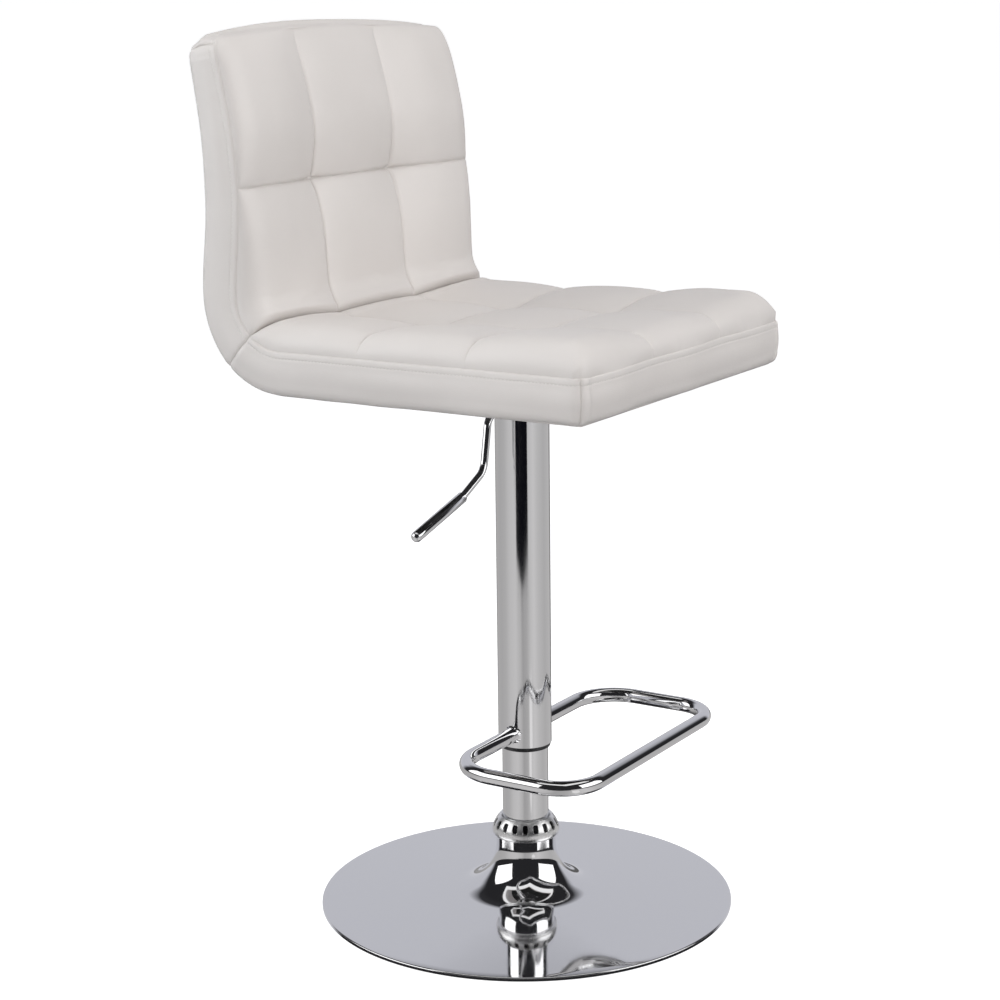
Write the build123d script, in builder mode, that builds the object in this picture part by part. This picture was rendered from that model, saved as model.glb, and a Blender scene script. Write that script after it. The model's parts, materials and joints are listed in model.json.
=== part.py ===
from build123d import *

import os
from math import asin, atan2, cos, degrees, hypot, radians, sin, tan

# Gas-lift swivel bar stool with a quilted seat and a low back.
# Millimetres. +Z is up, the origin is on the floor on the column's axis, and the sitter faces -Y.
# The seat is drawn at a working height: the lift travels below and above it.

os.makedirs("parts", exist_ok=True)

# ---- clearances ----
run_gap = 0.05  # radial gap of every running fit
touch_gap = 0.3  # gap between parts that pass close without guiding each other

# ---- base ----
base_r = 225.0
rim_h = 5.0
rim_round = 1.6
rim_lift = 0.8  # the cover's rim stands this far off the floor
cover_t = 2.0
flare_r = 50.0  # radius of the trumpet's hollow curve
flare_z = 66.0  # height where the flare meets the straight neck
neck_h = 9.6
ring_w = 16.0
ring_edge_gap = 0.5
plate_inset = 60.0  # the plate's edge inside the cover's rim
plate_t = 5.0
plate_lift = 1.8
plate_hole_r = 18.0
hub_flange_r = 60.0
hub_flange_t = 4.0
hub_bolt_circle = 45.0
hub_bolt_r = 4.0
hub_bolt_head_r = 6.5
hub_bolt_head_h = 5.3
hub_bolt_count = 4

# ---- column ----
column_r = 25.0
column_wall = 2.0
column_foot_z = 12.0
column_top_z = 440.0
column_neck_wall = 5.5  # from the column to the cover's neck, inside
end_plate_t = 5.0
end_plate_lift = 2.0
bush_h = 45.0
bush_flange_t = 2.5
bush_flange_in = 0.5

# ---- collar ----
collar_h = 22.0
collar_reach = 11.6  # from the column's face to the collar's widest point
collar_top_reach = 4.0
collar_bore_gap = 0.3
collar_foot_in = 1.5
collar_belly_h = 4.0  # height of the widest point
collar_brow_in = 1.2
collar_brow_h = 8.0
collar_slope_in = 3.6
collar_slope_h = 15.5
collar_mouth_w = 1.0
collar_mouth_drop = 2.0
collar_mouth_depth = 3.5
pocket_count = 18
pocket_w = 5.0
pocket_h = 8.0
pocket_depth = 1.6
pocket_rise = 13.5
pocket_round = 2.2
pocket_inset = 3.0  # from the widest point to the pocket's rim

# ---- swivel bearing and gas spring ----
spigot_r = 4.0
rod_tail = 2.0  # the rod's foot below the column's
retaining_clip_w = 3.0
rod_r = 5.0
race_t = 1.5
race_r = 11.0
ball_r = 1.5
ball_count = 10
bumper_h = 19.0
bumper_r = 12.0
bumper_round = 2.0
bumper_room = 5.0  # left above the bumper at the bottom of the stroke
piston_h = 12.0
piston_room = 8.0  # left under the piston at the top of the stroke
seal_h = 3.0
seal_depth = 2.0
cylinder_r = 14.0
cylinder_wall = 1.5
end_guide_h = 18.0
cylinder_seal_h = 6.0
taper_h = 45.0
taper_drop = 0.6  # how much the cylinder's radius shrinks over its taper
cylinder_lid_t = 6.0
valve_h = 55.0
pin_r = 3.5
pin_h = 32.0
pin_proud = 5.5
pin_travel = 4.0
pin_end_room = 1.0  # below the pin when it is pressed
lid_hole_gap = 1.0
stroke_down = 70.0
stroke_up = 140.0

# ---- sleeve and footrest ----
sleeve_wall = 1.5
sleeve_gap = 2.5  # radial room between the column and the sleeve
sleeve_foot_z = 181.0
guide_lip_h = 4.4
guide_lip_taper = 1.2
guide_lip_in = 0.3
guide_h = 24.0
top_ring_h = 10.0
bar_r = 8.0
bar_rise = 15.4  # height of the bar's centre above the sleeve's foot
loop_half_width = 156.0
loop_reach = 155.0  # from the column's axis to the bar's centre at the front
loop_back_y = -2.0
loop_front_round = 44.0
loop_rear_round = 50.0
weld_w = 2.0
weld_l = 4.0

# ---- mechanism under the seat ----
seat_under_z = 580.0
dust_t = 1.0
dust_round = 8.0
seat_plate_x = 200.0
seat_plate_y = 180.0
seat_plate_t = 3.0
seat_plate_round = 12.0
channel_h = 23.0
channel_x = 72.0
channel_y = 50.0
channel_t = 3.0
cylinder_proud = 2.0  # the cylinder's top above the channel's floor
lever_slot_gap = 2.0
hub_wall = 5.0
hub_h = 40.0
sleeve_top_gap = 1.0
bolt_pitch_x = 160.0
bolt_pitch_y = 140.0
bolt_r = 3.0
bolt_head_r = 5.5
bolt_head_h = 4.0
washer_t = 1.6
washer_r = 6.0
tee_flange_r = 9.0
tee_flange_t = 1.5
tee_wall = 1.2
plate_bore_gap = 0.3

# ---- lever ----
lever_r = 4.0
pivot_x = -26.0
pivot_pin_r = 2.5
pivot_eye_r = 7.0
pivot_eye_w = 10.0
lever_slope = 16.8  # degrees, the inner arm's fall towards the grip
lever_inner_x = 10.0
lever_over_pin = 1.0  # gap between the arm and the pin at rest
lever_knee_x = -67.0
lever_knee_round = 12.0
lever_elbow_round = 20.0
lever_neck_round = 14.0
lever_drop = 53.0
lever_drop_x = 10.0
lever_shank_x = 41.0
lever_shank_drop = 19.5
grip_r = 5.8
grip_x = 90.0
grip_drop = 25.0
grip_overlap = 6.0
grip_flat = 0.4  # radius left flat on the grip's domed end
clip_t = 1.2
clip_w = 2.0
pin_end = 1.0  # the pivot pin beyond its clips

# ---- seat and back ----
seat_width = 433.0
seat_front_y = -197.5
back_rear_y = 254.0  # rear face of the back at the end of the corner
corner_r = 100.0
seam_depth = 47.0  # from the outer face to the piping seam
lumbar_rise = 95.0  # above the corner's end
lumbar_in = 5.5
back_rise = 250.0
back_rake = 13.5
back_lean = 11.0  # degrees at the top
cover_skin = 2.0
ply_t = 12.0
band_t = 2.5
shell_inset = 14.0  # the plywood's edge inside the cover: foam wraps round it
crease_angle = 48.0  # below level, seen from the corner's centre
crease_in = 2.0  # the crease's distance behind the seam's curve
seat_crown = 24.0  # above the seam, near the front
seat_crown_y = -105.0
seat_waist = 18.5  # above the seam, near the back
seat_waist_y = 70.0
seat_edge_rise = 9.0
lumbar_puff = 4.0  # the back's face in front of the seam at the lumbar
cushion_round = 12.0
dust_inset = 18.0

# ---- worked out from the above ----
neck_r = column_r + column_neck_wall + cover_t
flare_x = neck_r + flare_r
neck_top_z = flare_z + neck_h
rim_in = base_r - cover_t
ring_out = rim_in - ring_edge_gap
ring_in = ring_out - ring_w
plate_r = base_r - plate_inset
hub_socket_r = neck_r - cover_t - touch_gap
hub_flange_z = plate_lift + plate_t
corner_y = back_rear_y - corner_r
corner_z = seat_under_z + corner_r
half_width = seat_width / 2
soft_half = half_width - band_t
shell_half = half_width - shell_inset
shell_front_y = seat_front_y + shell_inset
seat_floor = cover_skin + ply_t
seam_z = seat_under_z + seam_depth
crease_r = corner_r - seam_depth - crease_in
lumbar_depth = seam_depth + lumbar_puff
dust_z = seat_under_z - dust_t
plate_z = dust_z - seat_plate_t
channel_z = plate_z - channel_h
sleeve_r = column_r + sleeve_gap + sleeve_wall
sleeve_bore = column_r + sleeve_gap
sleeve_top_z = channel_z - sleeve_top_gap
bar_z = sleeve_foot_z + bar_rise
hub_r = cylinder_r + hub_wall
hub_z = channel_z - hub_h
cylinder_top_z = channel_z + channel_t + cylinder_proud
pivot_z = (
    cylinder_top_z + pin_proud + lever_over_pin + lever_r / cos(radians(lever_slope))
    + pivot_x * tan(radians(lever_slope))
)
end_plate_z = column_foot_z + end_plate_lift
bearing_z = end_plate_z + end_plate_t
ball_z = bearing_z + race_t + ball_r
upper_race_z = ball_z + ball_r + run_gap
shoulder_z = upper_race_z + race_t
cylinder_low_z = shoulder_z + bumper_h + bumper_room  # its foot at the bottom of the stroke
cylinder_foot_z = cylinder_low_z + stroke_down
piston_z = cylinder_foot_z + stroke_up + end_guide_h + cylinder_seal_h + piston_room
bore_r = cylinder_r - cylinder_wall


def save(piece, label):
    piece.part.label = label
    export_step(piece.part, "parts/" + label + ".step")


def ring(inner, outer, z, height):
    """Face of a plain ring's section, to revolve about the column's axis."""
    with BuildSketch(Plane.XZ) as section:
        with Locations(((inner + outer) / 2, z + height / 2)):
            Rectangle(outer - inner, height)
    return section.sketch


# ================= base =================

rim_drop = hypot(flare_x - base_r, flare_z - rim_h)
cone_slope = degrees(atan2(flare_z - rim_h, base_r - flare_x)) - degrees(asin(flare_r / rim_drop))


def cover_underside(radius):
    """Height of the cover's lower face on its cone."""
    return rim_h + (base_r - radius) * tan(radians(cone_slope)) - cover_t / cos(radians(cone_slope))


flare_end = 270 - cone_slope
with BuildPart() as base_cover:
    with BuildSketch(Plane.XZ) as cover_section:
        with BuildLine():
            flare = CenterArc((flare_x, flare_z), flare_r, 180, flare_end - 180)
            inner_flare = CenterArc((flare_x, flare_z), flare_r + cover_t, 180, flare_end - 180)
            Polyline(flare @ 1, (base_r, rim_h), (base_r, rim_lift), (rim_in, rim_lift),
                     (rim_in, cover_underside(rim_in)), inner_flare @ 1)
            Polyline(flare @ 0, (neck_r, neck_top_z), (neck_r - cover_t, neck_top_z), inner_flare @ 0)
        make_face()
        rim_corner = cover_section.vertices().sort_by(Axis.X)[-2:].sort_by(Axis.Y)[-1]
        fillet(rim_corner, rim_round)
    revolve(axis=Axis.Z)
save(base_cover, "base_cover")

with BuildPart() as floor_ring:
    with BuildSketch(Plane.XZ):
        with BuildLine():
            Polyline((ring_in, 0), (ring_out, 0), (ring_out, cover_underside(ring_out)),
                     (ring_in, cover_underside(ring_in)), close=True)
        make_face()
    revolve(axis=Axis.Z)
save(floor_ring, "floor_ring")

with BuildPart() as base_plate:
    with BuildSketch(Plane.XY.offset(plate_lift)):
        Circle(plate_r)
        Circle(plate_hole_r, mode=Mode.SUBTRACT)
        with PolarLocations(hub_bolt_circle, hub_bolt_count, start_angle=45):
            Circle(hub_bolt_r, mode=Mode.SUBTRACT)
    extrude(amount=plate_t)
save(base_plate, "base_plate")

with BuildPart() as base_hub:
    with BuildSketch(Plane.XZ):
        with BuildLine():
            Polyline((plate_hole_r, hub_flange_z), (hub_flange_r, hub_flange_z),
                     (hub_flange_r, hub_flange_z + hub_flange_t),
                     (hub_socket_r, hub_flange_z + hub_flange_t), (hub_socket_r, flare_z),
                     (column_r, flare_z), (column_r, column_foot_z), (plate_hole_r, column_foot_z),
                     close=True)
        make_face()
    revolve(axis=Axis.Z)
    with BuildSketch(Plane.XY.offset(hub_flange_z)):
        with PolarLocations(hub_bolt_circle, hub_bolt_count, start_angle=45):
            Circle(hub_bolt_r)
    extrude(amount=hub_flange_t, mode=Mode.SUBTRACT)
save(base_hub, "base_hub")

with BuildPart() as hub_bolts:
    with BuildSketch(Plane.XY.offset(plate_lift)):
        with PolarLocations(hub_bolt_circle, hub_bolt_count, start_angle=45):
            Circle(hub_bolt_r)
    extrude(amount=plate_t + hub_flange_t)
    with BuildSketch(Plane.XY.offset(hub_flange_z + hub_flange_t)):
        with PolarLocations(hub_bolt_circle, hub_bolt_count, start_angle=45):
            RegularPolygon(hub_bolt_head_r, 6)
    extrude(amount=hub_bolt_head_h)
save(hub_bolts, "hub_bolts")

with BuildPart() as column_tube:
    with BuildSketch(Plane.XY.offset(column_foot_z)):
        Circle(column_r)
        Circle(column_r - column_wall, mode=Mode.SUBTRACT)
    extrude(amount=column_top_z - column_foot_z)
save(column_tube, "column_tube")

# The collar is domed outside, with a row of small rounded pockets on its upper slope.
collar_bore = column_r + collar_bore_gap
collar_wide = column_r + collar_reach
collar_top = column_r + collar_top_reach
with BuildPart() as collar_ring:
    with BuildSketch(Plane.XZ):
        with BuildLine():
            lower = Line((collar_bore, neck_top_z), (collar_wide - collar_foot_in, neck_top_z))
            belly = ThreePointArc(lower @ 1, (collar_wide, neck_top_z + collar_belly_h),
                                  (collar_wide - collar_brow_in, neck_top_z + collar_brow_h))
            brow = ThreePointArc(belly @ 1, (collar_wide - collar_slope_in, neck_top_z + collar_slope_h),
                                 (collar_top, neck_top_z + collar_h))
            Polyline(brow @ 1, (collar_bore + collar_mouth_w, neck_top_z + collar_h - collar_mouth_drop),
                     (collar_bore, neck_top_z + collar_h - collar_mouth_depth), lower @ 0)
        make_face()
    revolve(axis=Axis.Z)
    pocket_z = neck_top_z + pocket_rise
    pocket_r = collar_wide - pocket_depth - pocket_inset
    for pocket in range(pocket_count):
        turn = 360 / pocket_count * pocket
        face = Plane.XZ.rotated((0, 0, turn)).offset(pocket_r)
        with BuildSketch(face):
            with Locations((0, pocket_z)):
                RectangleRounded(pocket_w, pocket_h, pocket_round)
        extrude(amount=collar_reach, mode=Mode.SUBTRACT)
save(collar_ring, "collar_ring")

with BuildPart() as column_end_plate:
    revolve(ring(spigot_r + run_gap, column_r - column_wall, end_plate_z, end_plate_t), axis=Axis.Z)
save(column_end_plate, "column_end_plate")

with BuildPart() as lower_race:
    revolve(ring(spigot_r + run_gap, race_r, bearing_z, race_t), axis=Axis.Z)
save(lower_race, "lower_race")

with BuildPart() as thrust_balls:
    with Locations(Plane.XY.offset(ball_z)):
        with PolarLocations((rod_r + race_r) / 2, ball_count):
            Sphere(ball_r)
save(thrust_balls, "thrust_balls")

with BuildPart() as column_bush:
    revolve(ring(cylinder_r + run_gap, column_r - column_wall, column_top_z - bush_h, bush_h), axis=Axis.Z)
    revolve(ring(cylinder_r + run_gap, column_r - bush_flange_in, column_top_z, bush_flange_t), axis=Axis.Z)
save(column_bush, "column_bush")

# ================= gas spring's rod: turns with the seat =================

rod_foot = column_foot_z - rod_tail
with BuildPart() as piston_rod:
    revolve(ring(0, spigot_r, rod_foot, shoulder_z - rod_foot), axis=Axis.Z)
    revolve(ring(0, rod_r, shoulder_z, piston_z - shoulder_z), axis=Axis.Z)
    revolve(ring(0, spigot_r, piston_z, piston_h), axis=Axis.Z)
save(piston_rod, "piston_rod")

seal_z = piston_z + (piston_h - seal_h) / 2
with BuildPart() as piston_head:
    revolve(ring(spigot_r, bore_r - run_gap, piston_z, piston_h), axis=Axis.Z)
    revolve(ring(bore_r - seal_depth, bore_r, seal_z, seal_h), axis=Axis.Z, mode=Mode.SUBTRACT)
save(piston_head, "piston_head")

with BuildPart() as piston_seal:
    revolve(ring(bore_r - seal_depth, bore_r - run_gap / 2, seal_z, seal_h), axis=Axis.Z)
save(piston_seal, "piston_seal")

with BuildPart() as upper_race:
    revolve(ring(spigot_r, race_r, upper_race_z, race_t), axis=Axis.Z)
save(upper_race, "upper_race")

with BuildPart() as rubber_bumper:
    revolve(ring(rod_r, bumper_r, shoulder_z, bumper_h), axis=Axis.Z)
    fillet(rubber_bumper.edges().filter_by(GeomType.CIRCLE).sort_by(SortBy.RADIUS)[-2:], bumper_round)
save(rubber_bumper, "rubber_bumper")

clip_z = end_plate_z - touch_gap - clip_t
with BuildPart() as retaining_clip:
    revolve(ring(spigot_r, spigot_r + retaining_clip_w, clip_z, clip_t), axis=Axis.Z)
save(retaining_clip, "retaining_clip")

# ================= lift: gas cylinder, sleeve and footrest =================

taper_z = cylinder_top_z - taper_h
taper_top_r = cylinder_r - taper_drop
lid_z = cylinder_top_z - cylinder_lid_t
pin_bore = pin_r + run_gap
with BuildPart() as gas_cylinder:
    with BuildSketch(Plane.XZ):
        with BuildLine():
            Polyline((bore_r, cylinder_foot_z), (cylinder_r, cylinder_foot_z), (cylinder_r, taper_z),
                     (taper_top_r, cylinder_top_z), (pin_bore + lid_hole_gap, cylinder_top_z),
                     (pin_bore + lid_hole_gap, lid_z), (bore_r, lid_z), close=True)
        make_face()
    revolve(axis=Axis.Z)
save(gas_cylinder, "gas_cylinder")

pin_top_z = cylinder_top_z + pin_proud
pin_foot_z = pin_top_z - pin_h
valve_z = lid_z - valve_h
with BuildPart() as valve_body:
    revolve(ring(pin_bore, bore_r, valve_z, valve_h), axis=Axis.Z)
    revolve(ring(0, bore_r, valve_z, pin_foot_z - pin_travel - pin_end_room - valve_z), axis=Axis.Z)
save(valve_body, "valve_body")

with BuildPart() as cylinder_end_guide:
    revolve(ring(rod_r + run_gap, bore_r, cylinder_foot_z, end_guide_h), axis=Axis.Z)
save(cylinder_end_guide, "cylinder_end_guide")

with BuildPart() as cylinder_seal:
    revolve(ring(rod_r + run_gap / 2, bore_r, cylinder_foot_z + end_guide_h, cylinder_seal_h), axis=Axis.Z)
save(cylinder_seal, "cylinder_seal")

with BuildPart() as sleeve_tube:
    with BuildSketch(Plane.XY.offset(sleeve_foot_z)):
        Circle(sleeve_r)
        Circle(sleeve_bore, mode=Mode.SUBTRACT)
    extrude(amount=sleeve_top_z - sleeve_foot_z)
save(sleeve_tube, "sleeve_tube")

guide_bore = column_r + run_gap
lip_z = sleeve_foot_z - guide_lip_h
with BuildPart() as sleeve_guide_ring:
    with BuildSketch(Plane.XZ):
        with BuildLine():
            Polyline((guide_bore, lip_z), (sleeve_r - guide_lip_taper, lip_z),
                     (sleeve_r - guide_lip_in, sleeve_foot_z), (sleeve_bore, sleeve_foot_z),
                     (sleeve_bore, sleeve_foot_z + guide_h), (guide_bore, sleeve_foot_z + guide_h),
                     close=True)
        make_face()
    revolve(axis=Axis.Z)
save(sleeve_guide_ring, "sleeve_guide_ring")

with BuildPart() as sleeve_top_ring:
    revolve(ring(hub_r, sleeve_bore, sleeve_top_z - top_ring_h, top_ring_h), axis=Axis.Z)
save(sleeve_top_ring, "sleeve_top_ring")

loop_points = [
    (-sleeve_r / 2, loop_back_y), (-loop_half_width, loop_back_y), (-loop_half_width, -loop_reach),
    (loop_half_width, -loop_reach), (loop_half_width, loop_back_y), (sleeve_r / 2, loop_back_y),
]
with BuildPart() as footrest_bar:
    with BuildLine(Plane.XY.offset(bar_z)) as loop:
        FilletPolyline(*loop_points,
                       radius=[loop_rear_round, loop_front_round, loop_front_round, loop_rear_round])
    with BuildSketch(Plane.YZ.offset(-sleeve_r / 2)):
        with Locations((loop_back_y, bar_z)):
            Circle(bar_r)
    sweep(path=loop.line)
    with BuildSketch(Plane.XY.offset(bar_z - 2 * bar_r)):
        Circle(sleeve_r)
    extrude(amount=4 * bar_r, mode=Mode.SUBTRACT)
save(footrest_bar, "footrest_bar")

with BuildPart() as footrest_welds:
    with BuildSketch(Plane.YZ):
        with Locations((loop_back_y, bar_z)):
            Circle(bar_r + weld_w)
            Circle(bar_r, mode=Mode.SUBTRACT)
    extrude(amount=sleeve_r + weld_l, both=True)
    with BuildSketch(Plane.XY.offset(bar_z - 2 * bar_r)):
        Circle(sleeve_r)
    extrude(amount=4 * bar_r, mode=Mode.SUBTRACT)
save(footrest_welds, "footrest_welds")

# ================= mechanism under the seat =================

with BuildPart() as mount_hub:
    with BuildSketch(Plane.XZ):
        with BuildLine():
            Polyline((cylinder_r, hub_z), (hub_r, hub_z), (hub_r, channel_z),
                     (cylinder_r - taper_drop * (channel_z - taper_z) / taper_h, channel_z),
                     (cylinder_r, taper_z), close=True)
        make_face()
    revolve(axis=Axis.Z)
save(mount_hub, "mount_hub")

slot_w = pivot_eye_w + 2 * lever_slot_gap
with BuildPart() as mechanism_channel:
    with BuildSketch(Plane.YZ.offset(-channel_x / 2)):
        with Locations((0, channel_z + channel_h / 2)):
            Rectangle(channel_y, channel_h)
        with Locations((0, channel_z + channel_t + channel_h / 2)):
            Rectangle(channel_y - 2 * channel_t, channel_h, mode=Mode.SUBTRACT)
    extrude(amount=channel_x)
    with BuildSketch(Plane.XY.offset(channel_z)):
        Circle(cylinder_r)
        with Locations((-channel_x / 2, 0)):
            Rectangle(channel_x, slot_w)
    extrude(amount=channel_t, mode=Mode.SUBTRACT)
    with BuildSketch(Plane.XZ):
        with Locations((pivot_x, pivot_z)):
            Circle(pivot_pin_r)
    extrude(amount=channel_y, both=True, mode=Mode.SUBTRACT)
save(mechanism_channel, "mechanism_channel")

pin_reach = channel_y / 2 + clip_t + pin_end
with BuildPart() as lever_pivot_pin:
    with BuildSketch(Plane.XZ):
        with Locations((pivot_x, pivot_z)):
            Circle(pivot_pin_r)
    extrude(amount=pin_reach, both=True)
save(lever_pivot_pin, "lever_pivot_pin")

with BuildPart() as pivot_clips:
    for side in (-1, 1):
        with BuildSketch(Plane.XZ.offset(side * channel_y / 2)):
            with Locations((pivot_x, pivot_z)):
                Circle(pivot_pin_r + clip_w)
                Circle(pivot_pin_r, mode=Mode.SUBTRACT)
        extrude(amount=side * clip_t)
save(pivot_clips, "pivot_clips")

with BuildPart() as seat_plate:
    with BuildSketch(Plane.XY.offset(plate_z)):
        RectangleRounded(seat_plate_x, seat_plate_y, seat_plate_round)
        with GridLocations(bolt_pitch_x, bolt_pitch_y, 2, 2):
            Circle(bolt_r + plate_bore_gap, mode=Mode.SUBTRACT)
    extrude(amount=seat_plate_t)
save(seat_plate, "seat_plate")

washer_z = plate_z - washer_t
ply_z = seat_under_z + cover_skin
ply_top_z = ply_z + ply_t
with BuildPart() as spring_washers:
    with BuildSketch(Plane.XY.offset(washer_z)):
        with GridLocations(bolt_pitch_x, bolt_pitch_y, 2, 2):
            Circle(washer_r)
            Circle(bolt_r + plate_bore_gap, mode=Mode.SUBTRACT)
    extrude(amount=washer_t)
save(spring_washers, "spring_washers")

with BuildPart() as plate_bolts:
    with BuildSketch(Plane.XY.offset(washer_z - bolt_head_h)):
        with GridLocations(bolt_pitch_x, bolt_pitch_y, 2, 2):
            RegularPolygon(bolt_head_r, 6)
    extrude(amount=bolt_head_h)
    with BuildSketch(Plane.XY.offset(washer_z)):
        with GridLocations(bolt_pitch_x, bolt_pitch_y, 2, 2):
            Circle(bolt_r)
    extrude(amount=ply_top_z - washer_z)
save(plate_bolts, "plate_bolts")

tee_r = bolt_r + tee_wall
with BuildPart() as tee_nuts:
    with BuildSketch(Plane.XY.offset(ply_z)):
        with GridLocations(bolt_pitch_x, bolt_pitch_y, 2, 2):
            Circle(tee_r)
            Circle(bolt_r, mode=Mode.SUBTRACT)
    extrude(amount=ply_t)
    with BuildSketch(Plane.XY.offset(ply_top_z)):
        with GridLocations(bolt_pitch_x, bolt_pitch_y, 2, 2):
            Circle(tee_flange_r)
    extrude(amount=tee_flange_t)
save(tee_nuts, "tee_nuts")

# ================= release lever and pin =================

slope = tan(radians(lever_slope))
knee_z = pivot_z + (lever_knee_x - pivot_x) * slope
elbow = (lever_knee_x - lever_drop_x, knee_z - lever_drop)
neck = (elbow[0] - lever_shank_x, elbow[1] - lever_shank_drop)
grip_end = (neck[0] - grip_x, neck[1] - grip_drop)
grip_length = hypot(grip_x, grip_drop)
grip_way = (-grip_x / grip_length, -grip_drop / grip_length)
arm_end = (neck[0] + grip_overlap * grip_way[0], neck[1] + grip_overlap * grip_way[1])
with BuildPart() as lever_rod:
    with BuildLine(Plane.XZ) as arm:
        FilletPolyline((lever_inner_x, pivot_z + (lever_inner_x - pivot_x) * slope),
                       (lever_knee_x, knee_z), elbow, neck, arm_end,
                       radius=[lever_knee_round, lever_elbow_round, lever_neck_round])
    with BuildSketch(Plane(origin=arm.line @ 0, z_dir=arm.line % 0)):
        Circle(lever_r)
    sweep(path=arm.line)
    with BuildSketch(Plane.XZ):
        with Locations((pivot_x, pivot_z)):
            Circle(pivot_eye_r)
    extrude(amount=pivot_eye_w / 2, both=True)
    with BuildSketch(Plane.XZ):
        with Locations((pivot_x, pivot_z)):
            Circle(pivot_pin_r + run_gap)
    extrude(amount=pivot_eye_w, both=True, mode=Mode.SUBTRACT)
save(lever_rod, "lever_rod")

with BuildPart() as lever_grip:
    with BuildSketch(Plane(origin=(neck[0], 0, neck[1]), z_dir=(grip_way[0], 0, grip_way[1]))):
        Circle(grip_r)
    extrude(amount=grip_length)
    fillet(lever_grip.faces().sort_by(Axis.X)[0].edges(), grip_r - grip_flat)
    add(lever_rod.part, mode=Mode.SUBTRACT)
save(lever_grip, "lever_grip")

with BuildPart() as release_pin:
    revolve(ring(0, pin_r, pin_foot_z, pin_h), axis=Axis.Z)
save(release_pin, "release_pin")

# ================= seat and back =================

def station(rise, rear_y, lean, depth):
    """A point of the back's curve at a depth inside its rear face."""
    return (rear_y - depth * cos(radians(lean)), corner_z + rise + depth * sin(radians(lean)))


def back_curve(depth, lumbar=None):
    """Points of the back's rear curve, moved forward by depth; lumbar sets the middle's own depth."""
    return [
        station(0, back_rear_y, 0, depth),
        station(lumbar_rise, back_rear_y - lumbar_in, 0, depth if lumbar is None else lumbar),
        station(back_rise, back_rear_y + back_rake, back_lean, depth),
    ]


top_way = (sin(radians(back_lean)), cos(radians(back_lean)))


def seat_line(depth, front_y):
    """The seat-and-back curve at a depth, from the seat's front to the back's top."""
    under = Line((front_y, seat_under_z + depth), (corner_y, seat_under_z + depth))
    CenterArc((corner_y, corner_z), corner_r - depth, -90, 90)
    back = Spline(*back_curve(depth), tangents=[(0, 1), top_way])
    return under @ 0, back @ 1


def layer(near, far, front_y, x=0.0):
    """Face of an L-shaped layer between two depths, on the plane at x."""
    with BuildSketch(Plane.YZ.offset(x)) as section:
        with BuildLine():
            near_front, near_top = seat_line(near, front_y)
            far_front, far_top = seat_line(far, front_y)
            Line(near_front, far_front)
            Line(near_top, far_top)
        make_face()
    return section.sketch


mitre_way = (0, cos(radians(crease_angle)), -sin(radians(crease_angle)))
mitre = Plane(origin=(0, corner_y, corner_z), x_dir=(1, 0, 0),
              z_dir=(0, -mitre_way[2], mitre_way[1]))

with BuildPart() as outer_cover:
    extrude(layer(0, cover_skin, seat_front_y), amount=soft_half, both=True)
    with BuildSketch(Plane.XY.offset(seat_under_z)):
        with GridLocations(bolt_pitch_x, bolt_pitch_y, 2, 2):
            Circle(bolt_r + plate_bore_gap)
    extrude(amount=cover_skin, mode=Mode.SUBTRACT)
save(outer_cover, "outer_cover")

rear_top = station(back_rise, back_rear_y + back_rake, back_lean, 0)
shell_end = Plane(origin=(0, rear_top[0] - shell_inset * top_way[0], rear_top[1] - shell_inset * top_way[1]),
                  x_dir=(1, 0, 0), z_dir=(0, *top_way))
with BuildPart() as shell_blank:
    extrude(layer(cover_skin, seat_floor, shell_front_y), amount=shell_half, both=True)
    split(bisect_by=shell_end, keep=Keep.BOTTOM)

with BuildPart() as seat_shell:
    add(shell_blank.part)
    with BuildSketch(Plane.XY.offset(ply_z)):
        with GridLocations(bolt_pitch_x, bolt_pitch_y, 2, 2):
            Circle(tee_r)
    extrude(amount=ply_t, mode=Mode.SUBTRACT)
save(seat_shell, "seat_shell")

for side, name in ((-1, "left"), (1, "right")):
    with BuildPart() as band:
        extrude(layer(0, seam_depth, seat_front_y, side * soft_half), amount=side * band_t)
    with BuildPart() as seat_band:
        add(band.part)
        split(bisect_by=mitre, keep=Keep.BOTTOM)
    save(seat_band, "seat_band_" + name)
    with BuildPart() as back_band:
        add(band.part)
        split(bisect_by=mitre, keep=Keep.TOP)
    save(back_band, "back_band_" + name)

with BuildPart() as front_band:
    with BuildSketch(Plane.XZ.offset(-seat_front_y)):
        with Locations((0, seat_under_z + (cover_skin + seam_depth) / 2)):
            Rectangle(2 * soft_half, seam_depth - cover_skin)
    extrude(amount=-band_t)
save(front_band, "front_band")

top_plane = Plane(origin=(0, rear_top[0], rear_top[1]), x_dir=(1, 0, 0), z_dir=(0, *top_way))
with BuildPart() as top_band:
    with BuildSketch(top_plane):
        with Locations((0, -seam_depth / 2)):
            Rectangle(seat_width, seam_depth)
    extrude(amount=band_t)
save(top_band, "top_band")

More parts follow.
